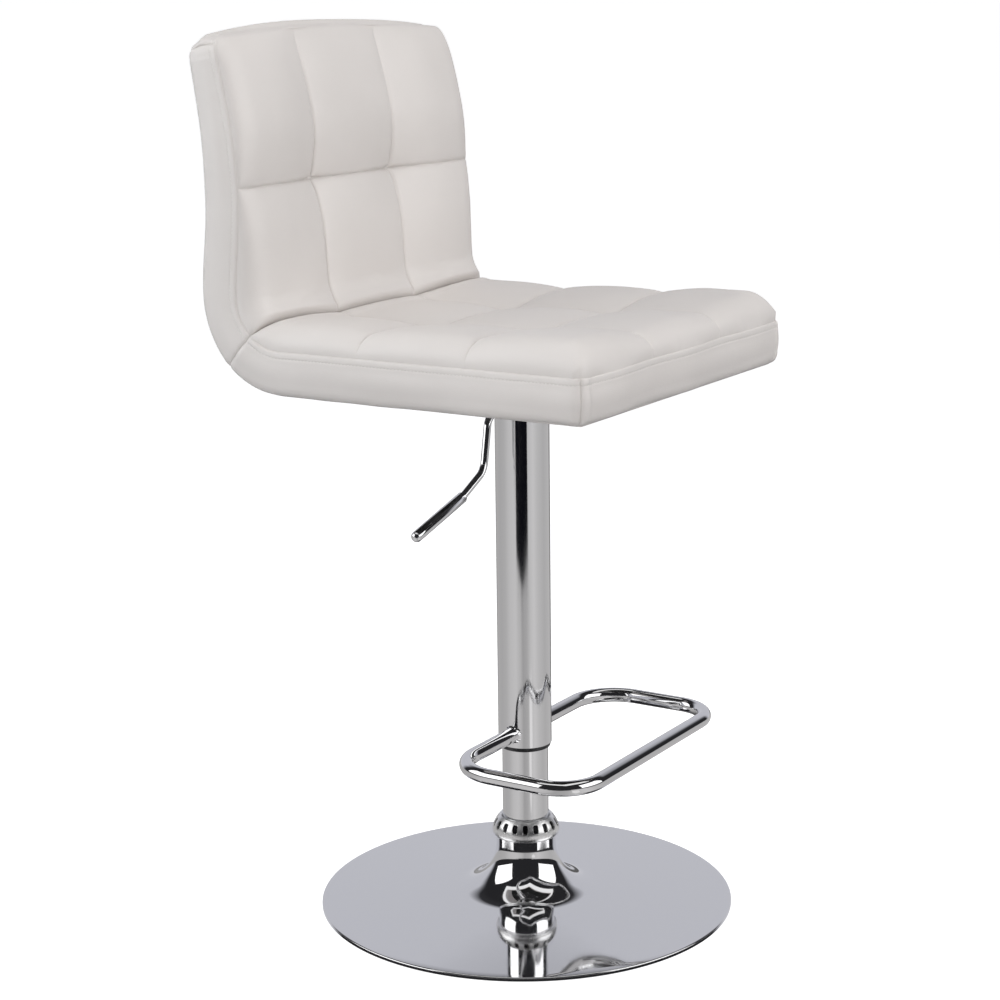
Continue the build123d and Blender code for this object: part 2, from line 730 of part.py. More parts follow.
inner_front_y = seat_front_y + band_t
foam_z = seat_under_z + cover_skin
foam_r = corner_r - cover_skin
crease = (corner_y + crease_r * mitre_way[1], corner_z + crease_r * mitre_way[2])
with BuildPart() as seat_cushion:
    with BuildSketch(Plane.YZ):
        with BuildLine():
            base_line = Line((inner_front_y, foam_z), (corner_y, foam_z))
            heel = CenterArc((corner_y, corner_z), foam_r, -90, 90 - crease_angle)
            Line(heel @ 1, crease)
            crown = Spline(crease, (seat_waist_y, seam_z + seat_waist), (seat_crown_y, seam_z + seat_crown),
                           (inner_front_y, seam_z + seat_edge_rise))
            Line(crown @ 1, base_line @ 0)
        make_face()
    extrude(amount=soft_half, both=True)
    upper = seat_cushion.edges().filter_by_position(Axis.Z, seam_z, seam_z + 2 * seat_crown)
    sides = upper.filter_by_position(Axis.X, -soft_half, -soft_half + 1)
    sides += upper.filter_by_position(Axis.X, soft_half - 1, soft_half)
    fillet(sides.sort_by(SortBy.LENGTH)[-2:], cushion_round)
    add(shell_blank.part, mode=Mode.SUBTRACT)
    with BuildSketch(Plane.XY.offset(ply_top_z)):
        with GridLocations(bolt_pitch_x, bolt_pitch_y, 2, 2):
            Circle(tee_flange_r)
    extrude(amount=tee_flange_t, mode=Mode.SUBTRACT)
save(seat_cushion, "seat_cushion")

with BuildPart() as back_cushion:
    with BuildSketch(Plane.YZ):
        with BuildLine():
            heel = CenterArc((corner_y, corner_z), foam_r, -crease_angle, crease_angle)
            rear = Spline(*back_curve(cover_skin), tangents=[(0, 1), top_way])
            face_points = back_curve(seam_depth, lumbar_depth)
            face = Spline(crease, *face_points[1:])
            Line(heel @ 0, crease)
            Line(rear @ 1, face @ 1)
        make_face()
    extrude(amount=soft_half, both=True)
    fronts = back_cushion.faces().filter_by(GeomType.PLANE, reverse=True).sort_by(Axis.Y)[0]
    fillet(fronts.edges().filter_by(GeomType.LINE, reverse=True), cushion_round)
    add(shell_blank.part, mode=Mode.SUBTRACT)
save(back_cushion, "back_cushion")

with BuildPart() as dust_cover:
    with BuildSketch(Plane.XY.offset(dust_z)):
        with Locations((0, (seat_front_y + corner_y) / 2)):
            RectangleRounded(seat_width - 2 * dust_inset, corner_y - seat_front_y - 2 * dust_inset,
                             dust_round)
        with GridLocations(bolt_pitch_x, bolt_pitch_y, 2, 2):
            Circle(bolt_r + plate_bore_gap, mode=Mode.SUBTRACT)
    extrude(amount=dust_t)
save(dust_cover, "dust_cover")
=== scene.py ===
"""Looks for the swivel bar stool: quilted leather, chrome, stitching, camera and light.

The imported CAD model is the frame. Soft parts and the visible chrome get their own smooth meshes, which
stand for the CAD nodes of the same place. Everything is in metres, +Z up, and the sitter faces -Y.
"""

import json
import math

import bmesh
import bpy
import numpy as np
from mathutils import Matrix, Vector, noise


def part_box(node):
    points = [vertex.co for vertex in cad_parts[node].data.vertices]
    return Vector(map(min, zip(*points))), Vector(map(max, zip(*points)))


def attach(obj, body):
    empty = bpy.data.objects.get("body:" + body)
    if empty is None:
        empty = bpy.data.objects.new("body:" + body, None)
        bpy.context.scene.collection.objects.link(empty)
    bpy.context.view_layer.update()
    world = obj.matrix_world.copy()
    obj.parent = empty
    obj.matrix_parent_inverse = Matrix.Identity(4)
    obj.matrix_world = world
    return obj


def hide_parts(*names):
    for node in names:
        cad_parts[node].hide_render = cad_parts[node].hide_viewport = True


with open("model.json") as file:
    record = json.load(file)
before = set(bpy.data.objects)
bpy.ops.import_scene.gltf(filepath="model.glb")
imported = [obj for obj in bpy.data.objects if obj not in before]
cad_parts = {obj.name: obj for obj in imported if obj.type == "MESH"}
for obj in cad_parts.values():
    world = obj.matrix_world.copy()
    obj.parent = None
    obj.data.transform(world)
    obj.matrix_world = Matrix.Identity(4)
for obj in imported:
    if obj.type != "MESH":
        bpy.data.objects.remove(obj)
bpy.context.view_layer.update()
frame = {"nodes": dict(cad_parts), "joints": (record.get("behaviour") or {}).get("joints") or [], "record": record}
MM = 0.001

# ------------------------------------------------------------------ places, from the frame

cover_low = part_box("outer_cover")[0]
band_low, band_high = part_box("seat_band_right")

HALF_WIDTH = band_high[0]
UNDER_Z = cover_low[2]
FRONT_Y = band_low[1]
CORNER_R = 100 * MM  # the outer bend between seat and back
REAR_Y = 254 * MM
CORNER_Y = REAR_Y - CORNER_R
CORNER_Z = UNDER_Z + CORNER_R
SEAM = 47 * MM  # depth of the seam between the bands and the quilted faces
LUMBAR_RISE = 95 * MM
LUMBAR_IN = 5.5 * MM
BACK_RISE = 250 * MM
BACK_RAKE = 13.5 * MM
BACK_LEAN = math.radians(11)
CREASE = math.radians(48)
MID = 25 * MM  # depth at which lengths along the seat and back are counted


# ------------------------------------------------------------------ the curve of seat and back


def back_point(t, depth):
    """Height t (0 to 1) up the back, at a depth inside its rear face: (y, z) arrays."""
    t = np.asarray(t, float)
    rise = t * BACK_RISE
    low = np.clip(rise / LUMBAR_RISE, 0, 1)
    high = np.clip((rise - LUMBAR_RISE) / (BACK_RISE - LUMBAR_RISE), 0, 1)
    span = BACK_RISE - LUMBAR_RISE
    ease_low = low * low * (3 - 2 * low)
    y = REAR_Y - LUMBAR_IN * ease_low
    y = y + (BACK_RAKE + LUMBAR_IN) * (high * high * (3 - 2 * high))
    y = y + math.tan(BACK_LEAN) * span * (high**3 - high**2)
    slope_low = -LUMBAR_IN * 6 * low * (1 - low) / LUMBAR_RISE
    slope_high = ((BACK_RAKE + LUMBAR_IN) * 6 * high * (1 - high) / span
                  + math.tan(BACK_LEAN) * (3 * high**2 - 2 * high))
    lean = np.arctan(np.where(rise < LUMBAR_RISE, slope_low, slope_high))
    return y - depth * np.cos(lean), CORNER_Z + rise + depth * np.sin(lean)


UNDER_L = CORNER_Y - FRONT_Y
BEND_L = (CORNER_R - MID) * math.pi / 2
LINE_L = UNDER_L + BEND_L + BACK_RISE


def line_point(s, depth):
    """The seat-and-back curve: s metres from the seat's front, at a depth inside the outer face."""
    s, depth = np.broadcast_arrays(np.asarray(s, float), np.asarray(depth, float))
    angle = np.clip((s - UNDER_L) / BEND_L, 0, 1) * math.pi / 2
    bend_y = CORNER_Y + (CORNER_R - depth) * np.sin(angle)
    bend_z = CORNER_Z - (CORNER_R - depth) * np.cos(angle)
    back_y, back_z = back_point(np.clip((s - UNDER_L - BEND_L) / BACK_RISE, 0, 1), depth)
    beyond = np.maximum(s - LINE_L, 0)
    y = np.where(s <= UNDER_L, FRONT_Y + s, np.where(s <= UNDER_L + BEND_L, bend_y, back_y))
    z = np.where(s <= UNDER_L, UNDER_Z + depth, np.where(s <= UNDER_L + BEND_L, bend_z, back_z))
    return y + beyond * math.sin(BACK_LEAN), z + beyond * math.cos(BACK_LEAN)


# ------------------------------------------------------------------ mesh helpers


def mesh_object(name, verts, faces, smooth=True):
    mesh = bpy.data.meshes.new(name)
    mesh.from_pydata([tuple(v) for v in verts], [], [tuple(f) for f in faces])
    mesh.validate()
    mesh.polygons.foreach_set("use_smooth", [smooth] * len(mesh.polygons))
    obj = bpy.data.objects.new(name, mesh)
    bpy.context.scene.collection.objects.link(obj)
    return obj


def grid_faces(rows, cols, wrap_cols=False, wrap_rows=False, flip=False, start=0):
    """Quads of a grid of rows x cols vertices, in row order."""
    i, j = np.meshgrid(np.arange(rows if wrap_rows else rows - 1),
                       np.arange(cols if wrap_cols else cols - 1), indexing="ij")
    i2, j2 = (i + 1) % rows, (j + 1) % cols
    quads = np.stack([i * cols + j, i * cols + j2, i2 * cols + j2, i2 * cols + j], -1).reshape(-1, 4)
    if flip:
        quads = quads[:, ::-1]
    return (quads + start).tolist()


def lathe(name, profile, segments=192):
    """A closed ring: the closed outline of (radius, height) points, turned about Z."""
    profile = np.asarray(profile, float)
    turn = np.linspace(0, 2 * math.pi, segments, endpoint=False)
    rows = []
    for angle in turn:
        rows.append(np.c_[profile[:, 0] * math.cos(angle), profile[:, 0] * math.sin(angle), profile[:, 1]])
    return mesh_object(name, np.concatenate(rows),
                       grid_faces(segments, len(profile), wrap_cols=True, wrap_rows=True))


def arc(cx, cz, radius, start, end, count):
    """Points of an arc, by angles in degrees."""
    a = np.radians(np.linspace(start, end, count))
    return [(cx + radius * math.cos(t), cz + radius * math.sin(t)) for t in a]


def rounded_path(points, radii, step):
    """Points along straight runs joined by tangent arcs."""
    points = [Vector(p) for p in points]
    path = [points[0]]
    for before, corner, after, radius in zip(points, points[1:], points[2:], radii):
        into, out = (corner - before).normalized(), (after - corner).normalized()
        turn = into.angle(out)
        reach = radius * math.tan(turn / 2)
        centre = corner + (out - into).normalized() * (radius / math.cos(turn / 2))
        first = corner - into * reach
        axis = into.cross(out).normalized()
        count = max(6, int(radius * turn / step))
        for k in range(count + 1):
            path.append(centre + Matrix.Rotation(turn * k / count, 3, axis) @ (first - centre))
    path.append(points[-1])
    dense = [path[0]]
    for p in path[1:]:
        gap = (p - dense[-1]).length
        count = max(1, int(gap / (4 * step)))
        start = dense[-1].copy()
        dense += [start.lerp(p, (k + 1) / count) for k in range(count)]
    return dense


def tube(name, path, radius, sides=40):
    """A round bar along a path; radius is one number or one for each point."""
    path = [Vector(p) for p in path]
    radii = [radius] * len(path) if isinstance(radius, (int, float)) else list(radius)
    ways = [(b - a).normalized() for a, b in zip(path, path[1:])]
    ways = [ways[0]] + [(a + b).normalized() for a, b in zip(ways, ways[1:])] + [ways[-1]]
    side = ways[0].orthogonal().normalized()
    verts = []
    for p, way, r in zip(path, ways, radii):
        side = (side - way * side.dot(way)).normalized()
        up = way.cross(side)
        for k in range(sides):
            a = 2 * math.pi * k / sides
            verts.append(p + (side * math.cos(a) + up * math.sin(a)) * r)
    faces = grid_faces(len(path), sides, wrap_cols=True)
    faces.append(list(range(sides))[::-1])
    faces.append(list(range(len(verts) - sides, len(verts))))
    return mesh_object(name, verts, faces)


def smooth_by_angle(obj, degrees):
    """Smooth shading with sharp edges above an angle, kept as edge marks."""
    bm = bmesh.new()
    bm.from_mesh(obj.data)
    limit = math.radians(degrees)
    for edge in bm.edges:
        edge.smooth = len(edge.link_faces) != 2 or edge.calc_face_angle(0) < limit
    bm.to_mesh(obj.data)
    bm.free()


def outward(obj):
    bm = bmesh.new()
    bm.from_mesh(obj.data)
    bmesh.ops.recalc_face_normals(bm, faces=bm.faces)
    bm.to_mesh(obj.data)
    bm.free()
    return obj


def bake_modifiers(obj):
    """Applies every modifier and keeps the result as the mesh."""
    depsgraph = bpy.context.evaluated_depsgraph_get()
    mesh = bpy.data.meshes.new_from_object(obj.evaluated_get(depsgraph))
    obj.modifiers.clear()
    obj.data = mesh
    mesh.polygons.foreach_set("use_smooth", [True] * len(mesh.polygons))


# ------------------------------------------------------------------ materials


MIX_A, MIX_B, MIX_OUT = 6, 7, 2  # the colour sockets of a mix node


class Nodes:
    """A node tree with short ways to add and join nodes."""

    def __init__(self, tree):
        self.tree = tree

    def node(self, kind, **values):
        """A new node; each value goes to the setting of that name, or else to the socket."""
        made = self.tree.nodes.new(kind)
        for key, value in values.items():
            if hasattr(made, key):
                setattr(made, key, value)
            else:
                made.inputs[key.replace("_", " ")].default_value = value
        return made

    def join(self, source, output, target, socket):
        self.tree.links.new(source.outputs[output], target.inputs[socket])

    def ramp(self, *stops):
        """A colour ramp through (position, colour) pairs."""
        made = self.node("ShaderNodeValToRGB")
        elements = made.color_ramp.elements
        for element, (position, color) in zip(elements, (stops[0], stops[-1])):
            element.position = position
            element.color = (*color, 1)
        for position, color in stops[1:-1]:
            elements.new(position).color = (*color, 1)
        return made

    def mix(self, a=(0, 0, 0), b=(0, 0, 0)):
        made = self.node("ShaderNodeMix", data_type="RGBA")
        made.inputs[MIX_A].default_value = (*a, 1)
        made.inputs[MIX_B].default_value = (*b, 1)
        return made


class Paint(Nodes):
    """A material with its Principled node."""

    def __init__(self, name, color, roughness, metallic=0.0, **sockets):
        self.material = bpy.data.materials.new(name)
        self.material.use_nodes = True
        super().__init__(self.material.node_tree)
        self.shader = self.tree.nodes["Principled BSDF"]
        sockets.update(Base_Color=(*color, 1), Roughness=roughness, Metallic=metallic)
        for socket, value in sockets.items():
            self.shader.inputs[socket.replace("_", " ")].default_value = value

    def object_space(self, scale=(1, 1, 1)):
        mapping = self.node("ShaderNodeMapping", Scale=scale)
        self.join(self.node("ShaderNodeTexCoord"), "Object", mapping, "Vector")
        return mapping

    def texture(self, kind, space, **values):
        made = self.node(kind, **values)
        self.join(space, "Vector", made, "Vector")
        return made

    def tint(self, source, output, *stops):
        """Colours the surface by a ramp through (position, colour) pairs."""
        ramp = self.ramp(*stops)
        self.join(source, output, ramp, "Fac")
        self.join(ramp, "Color", self.shader, "Base Color")

    def bump(self, source, output, strength, distance, below=None):
        made = self.node("ShaderNodeBump", Strength=strength, Distance=distance)
        self.join(source, output, made, "Height")
        if below is not None:
            self.join(below, "Normal", made, "Normal")
        self.join(made, "Normal", self.shader, "Normal")
        return made

    def vary_color(self, low, high, space, scale, detail=4.0):
        spots = self.texture("ShaderNodeTexNoise", space, Scale=scale, Detail=detail)
        self.tint(spots, "Fac", (0.35, low), (0.65, high))
        return spots

    def vary_roughness(self, low, high, source):
        spread = self.node("ShaderNodeMapRange", From_Min=0.3, From_Max=0.7, To_Min=low, To_Max=high)
        self.join(source, "Fac", spread, "Value")
        self.join(spread, "Result", self.shader, "Roughness")


def leather_paint():
    """Smooth off-white leather: fine pebble grain, soft creases and a slightly uneven sheen."""
    paint = Paint("white_leather", (0.68, 0.645, 0.622), 0.46)
    space = paint.object_space()
    clouds = paint.vary_color((0.668, 0.633, 0.61), (0.694, 0.658, 0.635), space, 9.0)
    paint.vary_roughness(0.42, 0.52, clouds)
    pebbles = paint.texture("ShaderNodeTexVoronoi", space, Scale=900.0)
    pores = paint.texture("ShaderNodeTexNoise", space, Scale=260.0, Detail=5.0)
    first = paint.bump(pores, "Fac", 0.12, 0.0006)
    paint.bump(pebbles, "Distance", 0.16, 0.0004, below=first)
    return paint


def chrome_paint(name, rough_low, rough_high, stretch=(1, 1, 1)):
    """Polished chrome with faint polishing marks."""
    paint = Paint(name, (0.86, 0.86, 0.87), rough_low, 1.0)
    marks = paint.texture("ShaderNodeTexNoise", paint.object_space(stretch), Scale=60.0, Detail=4.0)
    paint.vary_roughness(rough_low, rough_high, marks)
    return paint


def collar_paint():
    """Softer chrome with painted shade in its pockets: the base colour goes near black where the pocket mask is
    high.
    """
    paint = chrome_paint("collar_chrome", 0.26, 0.34)
    painted_pocket_shade = paint.node("ShaderNodeAttribute", attribute_name="painted_pocket_shade")
    # Painted shade: pale chrome outside the pockets, near black inside them.
    shade = paint.mix((0.95, 0.95, 0.95), (0.02, 0.02, 0.022))
    paint.join(painted_pocket_shade, "Fac", shade, "Factor")
    paint.join(shade, MIX_OUT, paint.shader, "Base Color")
    return paint


def steel_paint():
    """Plain zinc-plated steel: slightly mottled."""
    paint = Paint("plated_steel", (0.52, 0.52, 0.53), 0.35, 1.0)
    spots = paint.vary_color((0.46, 0.46, 0.47), (0.58, 0.58, 0.59), paint.object_space(), 120.0)
    paint.vary_roughness(0.28, 0.45, spots)
    return paint


def black_paint(name, color, low, high, scale, strength):
    """Black paint, plastic or rubber with a fine surface."""
    paint = Paint(name, color, low)
    lighter = tuple(c * 1.35 for c in color)
    grain = paint.vary_color(color, lighter, paint.object_space(), scale, 5.0)
    paint.vary_roughness(low, high, grain)
    paint.bump(grain, "Fac", strength, 0.0003)
    return paint


def wood_paint():
    """Birch plywood: long soft grain."""
    paint = Paint("birch_plywood", (0.62, 0.46, 0.29), 0.6)
    space = paint.object_space((1, 8, 8))
    grain = paint.vary_color((0.52, 0.37, 0.22), (0.7, 0.54, 0.36), space, 22.0, 8.0)
    paint.bump(grain, "Fac", 0.2, 0.0004)
    return paint


def cloth_paint():
    """Black non-woven cloth with a fine embossed dot pattern."""
    paint = Paint("dust_cloth", (0.02, 0.02, 0.02), 0.9)
    dots = paint.texture("ShaderNodeTexVoronoi", paint.object_space(), Scale=420.0, Randomness=0.15)
    paint.tint(dots, "Distance", (0.1, (0.012, 0.012, 0.012)), (0.6, (0.03, 0.03, 0.03)))
    paint.bump(dots, "Distance", 0.5, 0.0005)
    return paint


def thread_paint():
    """Off-white sewing thread with its twist."""
    paint = Paint("sewing_thread", (0.74, 0.72, 0.69), 0.6)
    twist = paint.texture("ShaderNodeTexWave", paint.object_space(), Scale=700.0,
                          bands_direction="DIAGONAL")
    paint.tint(twist, "Fac", (0.0, (0.66, 0.64, 0.61)), (1.0, (0.8, 0.78, 0.75)))
    paint.bump(twist, "Fac", 0.4, 0.0002)
    return paint


LEATHER = leather_paint()
CHROME = chrome_paint("polished_chrome", 0.035, 0.07)
COLLAR_CHROME = collar_paint()
COLUMN_CHROME = chrome_paint("column_chrome", 0.05, 0.12, (3, 3, 0.15))
STEEL = steel_paint()
BLACK_STEEL = black_paint("black_painted_steel", (0.018, 0.018, 0.019), 0.32, 0.48, 160.0, 0.15)
BLACK_PLASTIC = black_paint("black_plastic", (0.014, 0.014, 0.015), 0.38, 0.5, 400.0, 0.2)
RUBBER = black_paint("black_rubber", (0.016, 0.016, 0.016), 0.7, 0.85, 300.0, 0.35)
ALUMINIUM = chrome_paint("turned_aluminium", 0.25, 0.35, (1, 1, 12))
WOOD = wood_paint()
CLOTH = cloth_paint()
THREAD = thread_paint()

NODE_PAINT = {"chrome": CHROME, "steel": STEEL, "black_steel": BLACK_STEEL, "aluminium": ALUMINIUM,
              "black_plastic": BLACK_PLASTIC, "rubber": RUBBER, "plywood": WOOD, "foam": LEATHER,
              "leather": LEATHER, "dust_cloth": CLOTH}


def coat(obj, paint):
    obj.data.materials.clear()
    obj.data.materials.append(paint.material)


for entry in frame["record"]["subparts"]:
    coat(frame["nodes"][entry["node"]], NODE_PAINT[entry["material_slot"]])


def finish_piece(obj, body, slot, paint, *nodes):
    """Gives a piece its body and paint, and hides the CAD nodes that it stands for; slot is not used."""
    coat(obj, paint)
    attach(obj, body)
    if nodes:
        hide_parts(*nodes)


def hard_piece(obj, degrees, body, slot, paint, *nodes):
    """Finishes a piece whose edges are sharp above an angle."""
    smooth_by_angle(outward(obj), degrees)
    finish_piece(obj, body, slot, paint, *nodes)


# ------------------------------------------------------------------ base, column and sleeve

COLUMN_BORE = 23 * MM
SLEEVE_BORE = 27.5 * MM
SLEEVE_R = 29 * MM


def make_base():
    """Spun trumpet cover: rolled rim, shallow cone, hollow flare and neck."""
    (_, _, lift), (radius, _, neck_top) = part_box("base_cover")
    rim, wall, neck = 5 * MM, 2 * MM, 32.5 * MM  # the rim's height, the sheet, the neck's radius
    flare, flare_z = 50 * MM, 66 * MM  # radius of the flare's curve, height of its centre
    foot, rolled = 0.3 * MM, 1.6 * MM  # the rim's small radii, below and above
    centre = neck + flare
    reach = math.hypot(radius - centre, flare_z - rim)
    slope = math.degrees(math.atan2(flare_z - rim, radius - centre) - math.asin(flare / reach))
    end = 270 - slope
    outer = arc(centre, flare_z, flare, 180, end, 48)
    rim_arc = arc(radius - rolled, rim - rolled, rolled, 88, 0, 8)
    (r0, z0), (r1, z1) = outer[-1], rim_arc[0]
    cone = [(r0 * (1 - k / 20) + r1 * k / 20, z0 * (1 - k / 20) + z1 * k / 20) for k in range(1, 20)]
    inner = arc(centre, flare_z, flare + wall, end, 180, 24)
    rim_in = radius - wall
    under = rim + wall * math.tan(math.radians(slope)) - wall
    profile = ([(neck, neck_top)] + outer + cone + rim_arc
               + [(radius, lift + foot), (radius - foot, lift), (rim_in, lift), (rim_in, under)]
               + inner + [(neck - wall, neck_top)])
    hard_piece(lathe("base_cover_skin", profile, 256), 35, "base", "chrome", CHROME, "base_cover")


def make_collar():
    """Domed collar with a row of small rounded pockets round its upper slope."""
    (_, _, low), (wide, _, high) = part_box("collar_ring")
    bore, top, height = 25.3 * MM, SLEEVE_R, high - low
    pockets, steps = 18, 28  # pockets round the collar, mesh columns for each
    middle, half_tall, half_wide, deep = 0.64, 4.3 * MM, 2.7 * MM, 2.1 * MM
    outline = [(bore, low), (wide - 2.2 * MM, low), (wide - 1.2 * MM, low + 0.5 * MM),
               (wide - 0.35 * MM, low + 1.8 * MM), (wide, low + 4 * MM),
               (wide - 0.3 * MM, low + 6.2 * MM)]
    belly_r, belly_z = outline[-1]
    for k in range(1, 41):
        t = k / 40
        r = belly_r + (top - belly_r) * (0.18 * t + 0.82 * t**2.1)
        outline.append((r, belly_z + (high - 0.8 * MM - belly_z) * t))
    outline += [(top - 0.5 * MM, high - 0.2 * MM), (top - 1.2 * MM, high), (top - 1.8 * MM, high - 0.4 * MM),
                (bore + 0.4 * MM, high - 2.2 * MM), (bore, high - 3.2 * MM)]
    verts, pocket_shade_mask = [], []
    for i in range(pockets * steps):
        angle = 2 * math.pi * i / (pockets * steps)
        across = (i / steps) % 1 - 0.5
        for r, z in outline:
            share, rise = 0.0, (z - low) / height
            if r > bore + 3 * MM and 0.3 < rise < 0.95:
                side = abs(across) * 2 * math.pi * r / pockets
                up = abs(rise - middle) * height
                corner = (side / half_wide) ** 4 + (up / half_tall) ** 4
                share = 1 / (1 + math.exp(14 * (corner - 1)))
            out = r - deep * share
            verts.append((out * math.cos(angle), out * math.sin(angle), z))
            pocket_shade_mask.append(share)
    obj = mesh_object("collar_ring_skin", verts, grid_faces(pockets * steps, len(outline), True, True))
    # The pocket mask goes on the mesh as an attribute; the collar's chrome uses it for painted shade in the
    # pockets.
    obj.data.attributes.new("painted_pocket_shade", "FLOAT", "POINT").data.foreach_set("value", pocket_shade_mask)
    hard_piece(obj, 40, "base", "chrome", COLLAR_CHROME, "collar_ring")


def make_tube(name, node, bore, body):
    """A plain tube with small rounded edges at both mouths."""
    (_, _, low), (outer, _, high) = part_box(node)
    edge = 0.5 * MM
    profile = [(outer, low + edge), (outer, high - edge), (outer - edge, high), (bore + edge, high),
               (bore, high - edge), (bore, low + edge), (bore + edge, low), (outer - edge, low)]
    hard_piece(lathe(name, profile), 30, body, "chrome", COLUMN_CHROME, node)


def make_guide():
    """Black guide ring: its lip shows under the sleeve."""
    (_, _, low), (wide, _, high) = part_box("sleeve_guide_ring")
    bore, lip_top = 25.06 * MM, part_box("sleeve_tube")[0][2]
    profile = [(bore, low + 0.4 * MM), (bore + 0.4 * MM, low), (wide - 2.0 * MM, low),
               (wide - 1.4 * MM, low + 0.4 * MM), (wide - 0.3 * MM, lip_top - 0.9 * MM),
               (wide, lip_top - 0.4 * MM), (wide - 0.2 * MM, lip_top),
               (SLEEVE_BORE, lip_top), (SLEEVE_BORE, high), (bore, high)]
    hard_piece(lathe("guide_ring_skin", profile, 160), 30, "lift", "black_plastic", BLACK_PLASTIC,
               "sleeve_guide_ring")


def make_footrest():
    """The bent bar, with lumpy weld beads where it meets the sleeve."""
    (_, near, low), (wide, _, high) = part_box("footrest_bar")
    r, z = 8 * MM, (low + high) / 2
    half, front, back = wide - r, near + r, -2 * MM
    inside = 28.4 * MM  # the bar's ends stop inside the sleeve's wall
    path = rounded_path([(-inside, back, z), (-half, back, z), (-half, front, z), (half, front, z),
                         (half, back, z), (inside, back, z)],
                        [50 * MM, 44 * MM, 44 * MM, 50 * MM], 1.6 * MM)
    hard_piece(tube("footrest_bar_skin", path, r, 48), 40, "lift", "chrome", CHROME, "footrest_bar")
    around, across = 72, 14  # mesh rows round a weld and along it
    thick, long = 2.3 * MM, 3.4 * MM
    in_bar, in_sleeve = 0.3 * MM, 0.4 * MM  # how far a weld sinks into its neighbours
    verts, faces = [], []
    for side in (-1, 1):
        start = len(verts)
        for i in range(around):
            a = 2 * math.pi * i / around
            lump = 1 + 0.16 * math.sin(11 * a) + 0.1 * math.sin(17 * a + 1.3)
            for k in range(across):
                t = k / (across - 1)
                swell = r - in_bar + (thick * lump + in_bar) * (1 - t) ** 1.6
                y = back + swell * math.cos(a)
                out = math.sqrt(max(SLEEVE_R**2 - y * y, 0)) - in_sleeve
                x = out + t * (long * lump + in_sleeve)
                verts.append((side * x, y, z + swell * math.sin(a)))
        faces += grid_faces(around, across, wrap_rows=True, start=start)
        faces += [[start + i * across + rim for i in range(around)] for rim in (0, across - 1)]
    hard_piece(mesh_object("footrest_weld_skin", verts, faces), 50, "lift", "chrome", CHROME,
               "footrest_welds")


def make_lever():
    """The bent release lever and its thicker domed grip."""
    px, _, pz = next(j for j in frame["joints"] if j["name"] == "lever_tilt")["pos_m"]
    slope = math.tan(math.radians(16.8))
    inner, knee = [Vector((x, 0, pz + (x - px) * slope)) for x in (10 * MM, -67 * MM)]
    elbow = knee + Vector((-10, 0, -53)) * MM
    neck = elbow + Vector((-41, 0, -19.5)) * MM
    tip = neck + Vector((-90, 0, -25)) * MM
    way = (tip - neck).normalized()
    path = rounded_path([inner, knee, elbow, neck, neck + way * 6 * MM],
                        [12 * MM, 20 * MM, 14 * MM], 1.0 * MM)
    hard_piece(tube("lever_rod_skin", path, 4 * MM), 40, "lever", "chrome", CHROME, "lever_rod")
    half, edge, eye_r = 5 * MM, 0.4 * MM, 7 * MM
    eye = [(px, y, pz) for y in (-half, edge - half, half - edge, half)]
    eye_radii = [eye_r - edge, eye_r, eye_r, eye_r - edge]
    hard_piece(tube("lever_eye_skin", eye, eye_radii, 48), 30, "lever", "chrome", CHROME)
    r, length = 5.8 * MM, (tip - neck).length
    stations = [(0, 0.78 * r), (0.35 * MM, 0.93 * r), (0.9 * MM, r), (length - r, r)]
    for k in range(1, 13):
        a = math.radians(90 * k / 12.2)  # stops just before the pole, where the end cap closes the dome
        stations.append((length - r + r * math.sin(a), r * math.cos(a)))
    points = [neck + way * s for s, _ in stations]
    hard_piece(tube("lever_grip_skin", points, [radius for _, radius in stations], 48),
               40, "lever", "chrome", CHROME, "lever_grip")


make_base()
make_collar()
make_tube("column_skin", "column_tube", COLUMN_BORE, "base")
make_tube("sleeve_skin", "sleeve_tube", SLEEVE_BORE, "lift")
make_guide()
make_footrest()
make_lever()

# ------------------------------------------------------------------ upholstery

CREASE_S = UNDER_L + BEND_L * (math.pi / 2 - CREASE) / (math.pi / 2)
BEND_END = UNDER_L + BEND_L
LUMBAR_S = BEND_END + LUMBAR_RISE
TAPER = 7.5 * MM  # the back is this much narrower on each side at its top
TOP_THIN = 8.5 * MM  # the seam runs this much nearer the rear face at the top
TOP_CROWN = 7.5 * MM
CREASE_LIFT = 7.7 * MM  # the cushions meet this far above their seams
TOP_ROUND = 17 * MM
FRONT_ROUND = 14 * MM
SEAT_ACROSS = (-73 * MM, 73 * MM)  # quilting lines that run front to back
BACK_ACROSS = (-72 * MM, 72 * MM)
SEAT_ALONG = (-67 * MM - FRONT_Y, 59 * MM - FRONT_Y)  # quilting lines across the seat
BACK_ALONG = BEND_END + 787 * MM - CORNER_Z


def half_at(s):
    """Half width of the upholstery along the curve."""
    return HALF_WIDTH - TAPER * np.clip((s - CREASE_S) / (LINE_L - CREASE_S), 0, 1)


def seam_at(s):
    """Depth of the seam between bands and quilted faces."""
    high = np.clip((s - LUMBAR_S) / (LINE_L - LUMBAR_S), 0, 1)
    return SEAM - TOP_THIN * high**1.4


def edge_round(distance, radius):
    """0 at an edge, rising along a quarter circle to 1."""
    t = np.clip(distance / radius, 0, 1)
    return np.sqrt(1 - (1 - t) ** 2)


def crest(away, reach):
    """0 on a quilting line, rising to 1 at a distance."""
    return np.sin(np.clip(away / reach, 0, 1) * math.pi / 2)


def between(position, low, high):
    """0 on two neighbouring quilting lines and 1 midway; 0 outside them."""
    t = np.clip((position - low) / (high - low), 0, 1)
    return 1 - np.abs(2 * t - 1) ** 2.2


def quilt(floor, across, along, puff):
    """Padding over a grid of sewn lines: lowest where they cross, highest in the cells."""
    return floor + np.sqrt(across**2 + along**2) + puff


